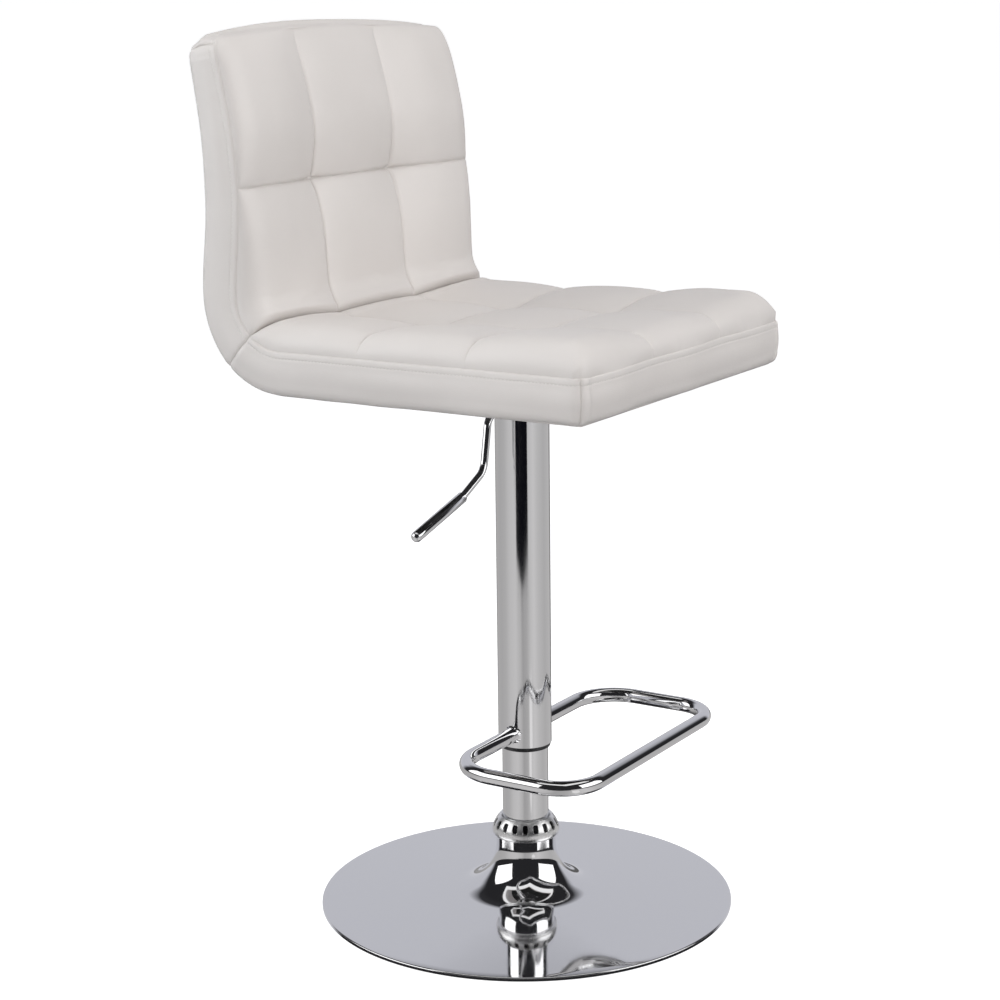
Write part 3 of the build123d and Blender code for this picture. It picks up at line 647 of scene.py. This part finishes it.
def groove(x, s, lines_x, lines_s):
    """The sharp fold along each sewn line, where the puffed leather rolls down to the thread."""
    away_x = np.min([np.abs(x - line) for line in lines_x], axis=0)
    away_s = np.min([np.abs(s - line) for line in lines_s], axis=0)
    away = np.minimum(away_x, away_s)
    knot = np.exp(-np.hypot(away_x, away_s) / (22 * MM))
    fold = 3.4 * MM * np.exp(-away / (1.2 * MM)) + 2.4 * MM * np.exp(-away / (8 * MM))
    return (0.8 + 0.9 * knot) * fold


def seat_lift(x, s):
    """Height of the seat's face over its seam."""
    half = half_at(s)
    front_line, rear_line = SEAT_ALONG
    forward = np.clip((rear_line - s) / (rear_line - front_line), 0, 1)
    outer = np.abs(x) - SEAT_ACROSS[1]
    across = np.where(outer > 0, 11.5 * MM * crest(outer, 92 * MM), 5.5 * MM * between(x, *SEAT_ACROSS))
    along = (9.5 * MM * crest(front_line - s, 62 * MM) + 6 * MM * between(s, front_line, rear_line)
             + 6 * MM * crest(s - rear_line, 60 * MM))
    body = quilt((12.5 + 4 * forward) * MM, across, along, 0.275 * np.minimum(across, along))
    sides = edge_round(half - np.abs(x), 32 * MM)
    front = edge_round(s, 30 * MM)
    rear = edge_round(CREASE_S - s, 30 * MM)
    round_off = sides * front
    face = round_off * (CREASE_LIFT + (body - CREASE_LIFT) * rear)
    return face - (round_off * rear) ** 0.8 * groove(x, s, SEAT_ACROSS, SEAT_ALONG)


def back_lift(x, s, end):
    """Height of the back's face in front of its seam; end is where its top seam lies."""
    half = half_at(s)
    outer = np.abs(x) - BACK_ACROSS[1]
    across = np.where(outer > 0, 15.5 * MM * crest(outer, 82 * MM), 6.5 * MM * between(x, *BACK_ACROSS))
    upper = np.clip((s - BACK_ALONG) / (end - BACK_ALONG), 0, 1)
    rise_up = 12.5 * MM * crest(upper, 0.42) - 4.5 * MM * np.clip(2 * upper - 1, 0, 1) ** 2
    lower = np.clip((BACK_ALONG - s) / (BACK_ALONG - BEND_END), 0, 1.3)
    rise_low = 28 * MM * (1 - np.exp(-2.0 * lower))
    along = np.where(s > BACK_ALONG, rise_up, rise_low)
    body = quilt(-8 * MM, across, along, 0.2 * np.minimum(across, along))
    sides = edge_round(half - np.abs(x), 30 * MM)
    top = edge_round(end - s, 30 * MM)
    foot = edge_round(s - CREASE_S, 16 * MM)
    shaped = sides * (top * np.maximum(body, 0) + edge_round(end - s, 60 * MM) * np.minimum(body, 0))
    reach = sides**0.8 * edge_round(end - 6 * MM - s, 40 * MM) * foot
    fold = reach * groove(x, s, BACK_ACROSS, (BACK_ALONG,))
    return CREASE_LIFT * sides * (1 - foot) + shaped * foot - fold


def at(x, s, depth):
    """Points of the seat-and-back space as an array of xyz."""
    x, s, depth = np.broadcast_arrays(x, s, depth)
    y, z = line_point(s, depth)
    return np.stack([x, y, z], -1)


def spaced(low, high, marks, step):
    """Even steps between marks, with a row exactly on each mark and close rows beside it."""
    stops = [low, *marks, high]
    values = [low]
    for a, b in zip(stops, stops[1:]):
        count = max(2, int(round((b - a) / step)))
        values += [a + (b - a) * (k + 1) / count for k in range(count)]
    for mark in marks:
        values += [mark + side * d * MM for side in (-1, 1) for d in (0.45, 1.0, 1.9)]
    return np.array(sorted(values))


def closed_pad(name, top, bottom):
    """A closed form from a top grid and a bottom grid of the same size."""
    rows, cols = top.shape[:2]
    verts = np.concatenate([top.reshape(-1, 3), bottom.reshape(-1, 3)])
    count = rows * cols
    faces = grid_faces(rows, cols) + grid_faces(rows, cols, flip=True, start=count)
    edge = ([(0, j) for j in range(cols)] + [(i, cols - 1) for i in range(1, rows)]
            + [(rows - 1, j) for j in range(cols - 2, -1, -1)] + [(i, 0) for i in range(rows - 2, 0, -1)])
    index = [i * cols + j for i, j in edge]
    for a, b in zip(index, index[1:] + index[:1]):
        faces.append((b, a, a + count, b + count))
    return outward(mesh_object(name, verts, faces))


PAD_STEP = 3.4 * MM
TUCK = 14 * MM  # how far a quilted face reaches down behind its seam
INSET = 0.8 * MM
PLUMP_FRAMES = 16
PLUMP_CAP = 4 * MM  # no point moves further than this in the simulation
PLUMPING = {"vertex_group_mass": "sewn", "pin_stiffness": 4, "use_pressure": True, "mass": 0.25,
            "quality": 5, "tension_stiffness": 22, "compression_stiffness": 22, "bending_stiffness": 3}


def coordinates(mesh):
    places = np.empty(len(mesh.vertices) * 3)
    mesh.vertices.foreach_get("co", places)
    return places.reshape(-1, 3)


def plump(obj, held, pressure):
    """Short pressure simulation with the sewn lines held; the result is kept as the mesh."""
    start = coordinates(obj.data)
    group = obj.vertex_groups.new(name="sewn")
    for index, weight in enumerate(held):
        if weight > 0:
            group.add([index], float(weight), "REPLACE")
    cloth = obj.modifiers.new("cloth", "CLOTH")
    for key, value in PLUMPING.items():
        setattr(cloth.settings, key, value)
    cloth.settings.uniform_pressure_force = pressure
    cloth.settings.effector_weights.gravity = 0
    cloth.point_cache.frame_start = 1
    cloth.point_cache.frame_end = PLUMP_FRAMES
    for frame_number in range(1, PLUMP_FRAMES + 1):
        bpy.context.scene.frame_set(frame_number)
    bake_modifiers(obj)
    bpy.context.scene.frame_set(1)
    step = coordinates(obj.data) - start
    length = np.linalg.norm(step, axis=1, keepdims=True)
    step *= np.minimum(1, PLUMP_CAP / np.maximum(length, 1e-9))
    obj.data.vertices.foreach_set("co", (start + step).ravel())
    obj.data.update()
    obj.vertex_groups.clear()


def line_hold(position, lines, width):
    """1 on a sewn line, falling to 0 beside it."""
    away = np.min([np.abs(position - line) for line in lines], axis=0)
    return np.clip(1 - away / width, 0, 1)


def pad(name, node, xs, ss, lift, hold, pressure):
    """A quilted face: a closed pad whose face follows lift, in columns that follow its outline."""
    s, u = np.meshgrid(ss, xs / HALF_WIDTH, indexing="ij")
    x, s = outline_fit(u, s)
    depth = seam_at(s) + lift(x, s)
    top = at(x, s, depth)
    bottom = at(x * 0.985, s, seam_at(s) - TUCK)
    made = closed_pad(name, top, bottom)
    edge = np.zeros_like(x)
    edge[0, :] = edge[-1, :] = edge[:, 0] = edge[:, -1] = 1
    pins = np.maximum(hold(u * HALF_WIDTH, s), edge).ravel()
    plump(made, np.concatenate([pins, np.ones_like(pins)]), pressure)
    finish_piece(made, "lift", "leather", LEATHER, node)


def top_edge(x):
    """Where the back's top seam lies: crowned, with rounded corners."""
    half = half_at(LINE_L)
    crown = TOP_CROWN * (1 - (x / half) ** 2)
    into = np.clip(np.abs(x) - (half - TOP_ROUND), 0, TOP_ROUND)
    return LINE_L + crown - (TOP_ROUND - np.sqrt(TOP_ROUND**2 - into**2))


def front_wave(x):
    """The slight wave of the seat's front seam."""
    return 1.6 * MM * np.cos(2 * math.pi * x / (146 * MM)) * edge_round(HALF_WIDTH - np.abs(x), 30 * MM)


def outline_fit(u, s):
    """Fits a plain grid into the outline: the back's tapered, crowned shape with rounded corners."""
    x = u * (half_at(s) - INSET)
    end = top_edge(x) - INSET
    high = np.clip((s - LUMBAR_S) / (LINE_L - LUMBAR_S), 0, None)
    s = np.where(s > LUMBAR_S, LUMBAR_S + (end - LUMBAR_S) * high, s)
    s = s - front_wave(x) * np.clip(1 - s / (40 * MM), 0, 1)
    into = np.clip(np.abs(x) - (HALF_WIDTH - FRONT_ROUND), 0, FRONT_ROUND)
    start = FRONT_ROUND - np.sqrt(FRONT_ROUND**2 - into**2)
    return x, s + start * np.clip(1 - s / (3 * FRONT_ROUND), 0, 1)


def make_seat_pad():
    xs = spaced(-HALF_WIDTH, HALF_WIDTH, SEAT_ACROSS, PAD_STEP)
    ss = spaced(INSET, CREASE_S, SEAT_ALONG, PAD_STEP)

    def hold(x, s):
        return 0.9 * np.maximum(line_hold(x, SEAT_ACROSS, 3 * MM), line_hold(s, SEAT_ALONG, 3 * MM))

    pad("quilted_seat", "seat_cushion", xs, ss, seat_lift, hold, 3.0)


def make_back_pad():
    xs = spaced(-HALF_WIDTH, HALF_WIDTH, BACK_ACROSS, PAD_STEP)
    ss = spaced(CREASE_S, LINE_L, [BACK_ALONG], PAD_STEP)

    def lift(x, s):
        return back_lift(x, s, top_edge(x))

    def hold(x, s):
        return 0.9 * np.maximum(line_hold(x, BACK_ACROSS, 3 * MM), line_hold(s, (BACK_ALONG,), 3 * MM))

    pad("quilted_back", "back_cushion", xs, ss, lift, hold, 2.5)


def strip_profile(width, wave):
    """Section of a band from its seam to its far edge: (distance, offset) pairs, then the inside."""
    near = [(-0.8, -1.8), (0.0, -0.35), (0.5, 0.1), (1.3, 0.4), (2.6, 0.62), (4.2, 0.75), (5.2, 0.78),
            (5.7, 0.62), (6.1, 0.55), (6.5, 0.66), (7.0, 0.9), (8.2, 1.1), (10.0, 1.2)]
    points = [(d * MM, o * MM) for d, o in near]
    body_start, body_end = 10 * MM, width - 11 * MM
    for k in range(1, 9):
        t = k / 8
        d = body_start + (body_end - body_start) * t
        swell = (1.3 + 1.2 * math.sin(math.pi * min(t * 1.08, 1)) - 0.6 * t) * MM
        points.append((d, swell + wave * math.sin(math.pi * t)))
    radius = 11 * MM
    for k in range(1, 9):
        a = math.radians(90 * k / 8)
        points.append((body_end + radius * math.sin(a), 0.4 * MM - radius * (1 - math.cos(a))))
    points += [(width - 1.0 * MM, -14 * MM), (width * 0.6, -8 * MM), (4 * MM, -6 * MM)]
    return points


def end_pull(end):
    """How far a band's ends, sewn to the next band, are drawn in; end is 0 there and 1 away from it."""
    return 1.8 * MM * (1 - end) ** 2


def strip(name, stations, node, dome=0.0):
    """A closed band along stations of (x, s, out_x, out_s, end), across from the seam to the far edge."""
    rows = []
    for x, s, out_x, out_s, end in stations:
        width = float(seam_at(min(s, LINE_L)))
        swell = 0.5 * MM * math.sin(s * 31 + x * 23) + dome * max(0, 1 - (x / HALF_WIDTH) ** 2) ** 0.6
        profile = np.array(strip_profile(width, swell))
        offset = profile[:, 1] - end_pull(end)
        depth = width - profile[:, 0]
        slack = 1.5 * MM * (1 + noise.noise(Vector((x * 14, s * 14, 0.7)))) - 0.6 * MM
        depth = depth + slack * np.clip(profile[:, 0] / width, 0, 1) ** 3
        rows.append(at(x + out_x * offset, s + out_s * offset, np.maximum(depth, 0)))
    cols = len(rows[0])
    verts = np.concatenate(rows)
    faces = grid_faces(len(rows), cols, wrap_cols=True)
    faces.append(list(range(cols)))
    faces.append(list(range(len(verts) - cols, len(verts)))[::-1])
    made = outward(mesh_object(name, verts, faces))
    smooth_by_angle(made, 60)
    finish_piece(made, "lift", "leather", LEATHER, node)


STITCH_PITCH = 4.1 * MM
STITCH_LENGTH = 3.0 * MM
THREAD_R = 0.42 * MM
STITCH_DOWN = 6.1 * MM  # how far below the seam a row of stitches runs
STITCH_OUT = 0.45 * MM
STITCH_SHAPE = ((0, 0.35, -0.4), (0.12, 0.8, -0.05), (0.32, 1, 0.07), (0.68, 1, 0.07), (0.88, 0.8, -0.05),
                (1, 0.35, -0.4))  # share of the length, share of the thread's radius, lift in mm


def stitched(name, points, normals):
    """A row of stitches: short threads that dip into the leather at both ends."""
    points, normals = np.array(points), np.array(normals)
    run = np.concatenate([[0], np.cumsum(np.linalg.norm(np.diff(points, axis=0), axis=1))])
    count = int(run[-1] / STITCH_PITCH)
    sides, last = 6, len(STITCH_SHAPE) - 1

    def along(values, where):
        return np.array([np.interp(where, run, values[:, c]) for c in range(3)])

    verts, faces = [], []
    for i in range(count):
        base = len(verts)
        start = (i + 0.5 - 0.5 * STITCH_LENGTH / STITCH_PITCH) * run[-1] / count
        for share, thick, lift in STITCH_SHAPE:
            where = start + share * STITCH_LENGTH
            centre, out = along(points, where), along(normals, where)
            out /= np.linalg.norm(out)
            ahead = along(points, where + 0.5 * MM) - centre
            ahead -= out * out.dot(ahead)
            ahead /= max(np.linalg.norm(ahead), 1e-9)
            side = np.cross(out, ahead)
            for j in range(sides):
                a = 2 * math.pi * j / sides
                verts.append(centre + out * (lift * MM + THREAD_R * thick * math.sin(a))
                             + side * THREAD_R * thick * math.cos(a))
        faces += grid_faces(last + 1, sides, wrap_cols=True, start=base)
        faces.append([base + j for j in range(sides)][::-1])
        faces.append([base + last * sides + j for j in range(sides)])
    finish_piece(outward(mesh_object(name, verts, faces)), "lift", "leather", THREAD)


def seam_thread(name, stations):
    """Stitches that follow a band along its seam."""
    points, normals = [], []
    for x, s, out_x, out_s, end in stations:
        depth = float(seam_at(min(s, LINE_L))) - STITCH_DOWN
        out = STITCH_OUT - end_pull(end)
        beyond = out + 1 * MM
        points.append(at(x + out_x * out, s + out_s * out, depth))
        normals.append((at(x + out_x * beyond, s + out_s * beyond, depth) - points[-1]) / MM)
    stitched(name, points, normals)


BAND_FADE = 4 * MM  # over this length a band is drawn in at an end that is sewn to the next band


def side_stations(side, low, high):
    """Stations of a side band along s; one of its ends is at the crease."""
    count = max(2, int((high - low) / (3 * MM)))
    values = [low + (high - low) * k / count for k in range(count + 1)]
    inward = 1 if low == CREASE_S else -1
    values += [CREASE_S + inward * d * MM for d in (0.25, 0.7, 1.4)]
    made = []
    for s in sorted(values):
        slope = float((half_at(s + MM) - half_at(s - MM)) / (2 * MM))
        norm = math.hypot(1, slope)
        end = min(1.0, abs(s - CREASE_S) / BAND_FADE)
        made.append((side * float(half_at(s)), s, side / norm, -slope / norm, end))
    return made


def corner_stations(x, s, radius, start, end, faded, count=9):
    """Stations round an outline's corner, by angles in the (x, s) plane; faded is its sewn end, 0 or 1."""
    made = []
    for k in range(count):
        t = k / (count - 1)
        a = math.radians(start + (end - start) * t)
        fade = min(1.0, abs(t - faded) * radius * math.radians(abs(end - start)) / BAND_FADE)
        made.append((x + radius * math.cos(a), s + radius * math.sin(a), math.cos(a), math.sin(a), fade))
    return made


def make_bands():
    """The six bands round seat and back, each with its row of stitches."""
    half_top = float(half_at(LINE_L))
    corner_low = float(top_edge(np.array(half_top)))  # where a side band meets the rounded corner
    front_x, top_x = HALF_WIDTH - FRONT_ROUND, half_top - TOP_ROUND
    for side, label in ((-1, "left"), (1, "right")):
        seat = corner_stations(side * front_x, FRONT_ROUND, FRONT_ROUND, 90 - 135 * side, 90 - 90 * side, 0)
        seat += side_stations(side, FRONT_ROUND + 1 * MM, CREASE_S)
        strip("side_band_seat_" + label, seat, "seat_band_" + label)
        seam_thread("seat_seam_thread_" + label, seat[1:-1])
        back = side_stations(side, CREASE_S, corner_low - 1 * MM)
        turn = corner_stations(side * top_x, corner_low, TOP_ROUND, 90 - 90 * side, 90 - 48 * side, 1)
        strip("side_band_back_" + label, back + turn, "back_band_" + label)
        seam_thread("back_seam_thread_" + label, back[1:] + turn[:-1])
    front = corner_stations(-front_x, FRONT_ROUND, FRONT_ROUND, 225, 270, 0)[:-1]
    front += [(x, -float(front_wave(x)), 0.0, -1.0, 1.0) for x in np.linspace(-front_x, front_x, 140)]
    front += corner_stations(front_x, FRONT_ROUND, FRONT_ROUND, -90, -45, 1)[1:]
    strip("band_front", front, "front_band")
    seam_thread("front_seam_thread", front[1:-1])
    top = corner_stations(-top_x, corner_low, TOP_ROUND, 138, 90, 0)[:-1]
    for x in np.linspace(-top_x, top_x, 130):
        slope = -2 * TOP_CROWN * x / half_top**2
        norm = math.hypot(1, slope)
        top.append((x, float(top_edge(np.array(x))), -slope / norm, 1 / norm, 1.0))
    top += corner_stations(top_x, corner_low, TOP_ROUND, 90, 42, 1)[1:]
    strip("band_top", top, "top_band", dome=7 * MM)
    seam_thread("top_seam_thread", top[1:-1])


def make_outer_cover():
    """The leather under the seat and behind the back, with slightly rounded sides."""
    begin = 9 * MM
    s = spaced(begin, LINE_L, [], 5 * MM)
    u = np.concatenate([[-1, -0.995, -0.985], np.linspace(-0.97, 0.97, 60), [0.985, 0.995, 1]])
    ss, uu = np.meshgrid(s, u, indexing="ij")
    half = half_at(ss) - 9.5 * MM
    x = uu * half
    end = LINE_L - 4 * MM - 8 * MM * uu**6
    ss = begin + (ss - begin) / (LINE_L - begin) * (end - begin)
    rear = np.clip((ss - BEND_END + 20 * MM) / (60 * MM), 0, 1)
    swell = rear * 1.2 * MM * (1 - uu**2) * np.clip((LINE_L - ss) / (60 * MM), 0, 1)
    rim = 1.2 * MM * (1 - edge_round(half - np.abs(x), 6 * MM))
    made = closed_pad("outer_leather", at(x, ss, rim - swell), at(x, ss, 1.9 * MM))
    finish_piece(made, "lift", "leather", LEATHER, "outer_cover")


make_seat_pad()
make_back_pad()
make_bands()
make_outer_cover()

# ------------------------------------------------------------------ floor, camera and light

AZIMUTH = math.radians(-58.7)  # the camera's side
UP = Vector((0, 0, 1))


def around(bearing, distance, height=0.0):
    """A place at a bearing in degrees from the camera's side, turning to the right."""
    a = AZIMUTH + math.radians(bearing)
    return Vector((math.sin(a) * distance, -math.cos(a) * distance, height))


def square(name, half, height):
    verts = [(-half, -half, height), (half, -half, height), (half, half, height), (-half, half, height)]
    return mesh_object(name, verts, [(0, 1, 2, 3)], smooth=False)


def hide_from(obj, *rays):
    for ray in rays:
        setattr(obj, "visible_" + ray, False)


def make_stage():
    """A white floor that only the camera sees, and a grey one that only throws light back up."""
    floor = square("floor", 200, 0)
    coat(floor, Paint("floor_paint", (0.5, 0.5, 0.5), 0.9, Emission_Color=(1, 1, 1, 1),
                      Emission_Strength=0.97, Specular_IOR_Level=0.0))
    hide_from(floor, "diffuse", "glossy")
    bounce = square("floor_bounce", 200, -1 * MM)
    coat(bounce, Paint("floor_bounce_paint", (0.62, 0.62, 0.63), 0.9))
    hide_from(bounce, "camera", "glossy")


def make_camera():
    pitch, roll, yaw = math.radians(12.75), -0.012, -0.010
    camera = bpy.data.cameras.new("camera")
    camera.lens = 83.8
    camera.sensor_width = 36
    obj = bpy.data.objects.new("camera", camera)
    bpy.context.scene.collection.objects.link(obj)
    forward, right = around(180, 1), around(90, 1)
    ahead = math.cos(yaw) * forward + math.sin(yaw) * right
    across = math.cos(yaw) * right - math.sin(yaw) * forward
    view = math.cos(pitch) * ahead - math.sin(pitch) * UP
    rise = math.cos(pitch) * UP + math.sin(pitch) * ahead
    axis_x = math.cos(roll) * across + math.sin(roll) * rise
    axis_y = math.cos(roll) * rise - math.sin(roll) * across
    turn = Matrix((axis_x, axis_y, -view)).transposed().to_4x4()
    obj.matrix_world = Matrix.Translation(around(0, 2.4129, 0.9956)) @ turn
    bpy.context.scene.camera = obj


def area_light(name, bearing, distance, height, aim_z, wide, tall, power, color=(1, 1, 1)):
    """A soft box at a bearing; chrome mirrors the cards below instead of it."""
    light = bpy.data.lights.new(name, "AREA")
    light.energy = power
    light.shape = "RECTANGLE"
    light.size = wide
    light.size_y = tall
    light.color = color
    obj = bpy.data.objects.new(name, light)
    bpy.context.scene.collection.objects.link(obj)
    hide_from(obj, "glossy")
    obj.location = around(bearing, distance, height)
    obj.rotation_euler = (Vector((0, 0, aim_z)) - obj.location).to_track_quat("-Z", "Y").to_euler()


def card(obj, shade):
    """Makes a card that only mirrors see: it neither blocks light nor shows to the camera."""
    board = Paint(obj.name + "_paint", (0, 0, 0), 1.0, Emission_Color=(*shade, 1),
                  Emission_Strength=1.0, Specular_IOR_Level=0.0)
    coat(obj, board)
    hide_from(obj, "camera", "diffuse", "shadow", "transmission")
    return board


def window_card(name, bearing, distance, wide, low, high, shade):
    """A tall pale panel facing the column, at a bearing from the camera's side."""
    middle, side = around(bearing, distance), around(bearing + 90, wide / 2)
    verts = [middle - side + UP * low, middle + side + UP * low,
             middle + side + UP * high, middle - side + UP * high]
    card(mesh_object(name, verts, [(0, 1, 2, 3)], smooth=False), (shade, shade, shade))


def pale_card():
    """The studio floor as mirrors see it: soft greys that change with the bearing from the column."""
    count = 96
    verts = []
    for k in range(count):
        a = 2 * math.pi * k / count
        verts += [(math.cos(a) * r, math.sin(a) * r, 2 * MM) for r in (0.24, 0.9, 7.0)]
    obj = mesh_object("pale_card", verts, grid_faces(count, 3, wrap_rows=True), smooth=False)
    board = card(obj, (0.5, 0.5, 0.5))
    obj.rotation_euler = (0, 0, AZIMUTH - math.pi / 2)
    turn = board.node("ShaderNodeTexGradient", gradient_type="RADIAL")
    board.join(board.node("ShaderNodeTexCoord"), "Object", turn, "Vector")
    shades = ((0.04, 0.3), (0.1, 0.44), (0.2, 0.43), (0.27, 0.46), (0.33, 0.55), (0.4, 0.59),
              (0.455, 0.5), (0.485, 0.38), (0.53, 0.42), (0.575, 0.56), (0.62, 0.62), (0.68, 0.53),
              (0.77, 0.46), (0.86, 0.5), (0.9, 0.5), (0.93, 0.12))
    stops = [(position, (shade, shade * 0.985, shade * 0.985)) for position, shade in shades]
    ramp = board.ramp((0.0, (0.16, 0.16, 0.16)), *stops, (1.0, (0.1, 0.1, 0.1)))
    board.join(turn, "Fac", ramp, "Fac")
    board.join(ramp, "Color", board.shader, "Emission Color")


def floor_card(name, low, high, near, far, shade, tip):
    """A wedge of floor round the column, between two bearings; tip draws its near end to a point."""
    verts, count = [], 24
    for k in range(count + 1):
        t = k / count
        inner = near + tip * abs(2 * t - 1) ** 1.5
        verts += [around(low + (high - low) * t, r, 3 * MM) for r in (inner, far)]
    card(mesh_object(name, verts, grid_faces(count + 1, 2), smooth=False), shade)


def make_world():
    """Plain white to look at; in mirrors, a pale wall low behind the stool and a dark room elsewhere."""
    world = bpy.data.worlds.new("studio")
    bpy.context.scene.world = world
    world.use_nodes = True
    sky = Nodes(world.node_tree)
    where = sky.node("ShaderNodeTexCoord")
    split = sky.node("ShaderNodeSeparateXYZ")
    wall = sky.ramp((0.0, (0.60, 0.60, 0.64)), (0.15, (0.55, 0.555, 0.6)), (0.52, (0.54, 0.545, 0.59)),
                    (0.66, (0.03, 0.03, 0.033)), (1.0, (0.03, 0.03, 0.033)))
    behind = sky.node("ShaderNodeVectorMath", operation="DOT_PRODUCT")
    behind.inputs[1].default_value = around(180, 1)
    side = sky.node("ShaderNodeMapRange", interpolation_type="SMOOTHSTEP", From_Min=0.5, From_Max=0.72)
    room = sky.mix((0.02, 0.02, 0.022))
    shown = sky.mix(b=(0.98, 0.98, 0.98))
    sky.join(where, "Generated", split, "Vector")
    sky.join(where, "Generated", behind, 0)
    sky.join(behind, "Value", side, "Value")
    sky.join(split, "Z", wall, "Fac")
    sky.join(side, "Result", room, "Factor")
    sky.join(wall, "Color", room, MIX_B)
    sky.join(sky.node("ShaderNodeLightPath"), "Is Camera Ray", shown, "Factor")
    sky.join(room, MIX_OUT, shown, MIX_A)
    sky.join(shown, MIX_OUT, world.node_tree.nodes["Background"], "Color")


make_stage()
make_camera()
make_world()
area_light("top_box", 0, 0.5, 3.0, 0.4, 2.6, 2.6, 44)
area_light("left_box", -92, 2.5, 1.5, 0.4, 2.6, 1.9, 42, color=(0.93, 0.97, 1.0))
area_light("right_box", 92, 2.5, 1.5, 0.4, 2.6, 1.9, 36)
area_light("front_fill", 0, 3.4, 0.9, 0.6, 3.2, 1.8, 60)
pale_card()
card(square("ceiling_card", 1.4, 3.0), (0.9, 0.9, 0.9))
window_card("left_window", -78, 2.9, 3.1, 0.6, 3.2, 1.5)
window_card("right_window", 72, 2.9, 3.1, 0.6, 3.2, 1.5)
floor_card("dark_wedge", -29, 20, 1.38, 6.0, (0.004, 0.004, 0.006), 0.2)
floor_card("dark_sliver", -38, -33, 2.3, 6.0, (0.05, 0.05, 0.05), 0.3)
floor_card("pale_wedge", 20, 32, 0.3, 0.85, (0.78, 0.77, 0.77), 0.1)
bpy.context.scene.view_settings.view_transform = "Standard"
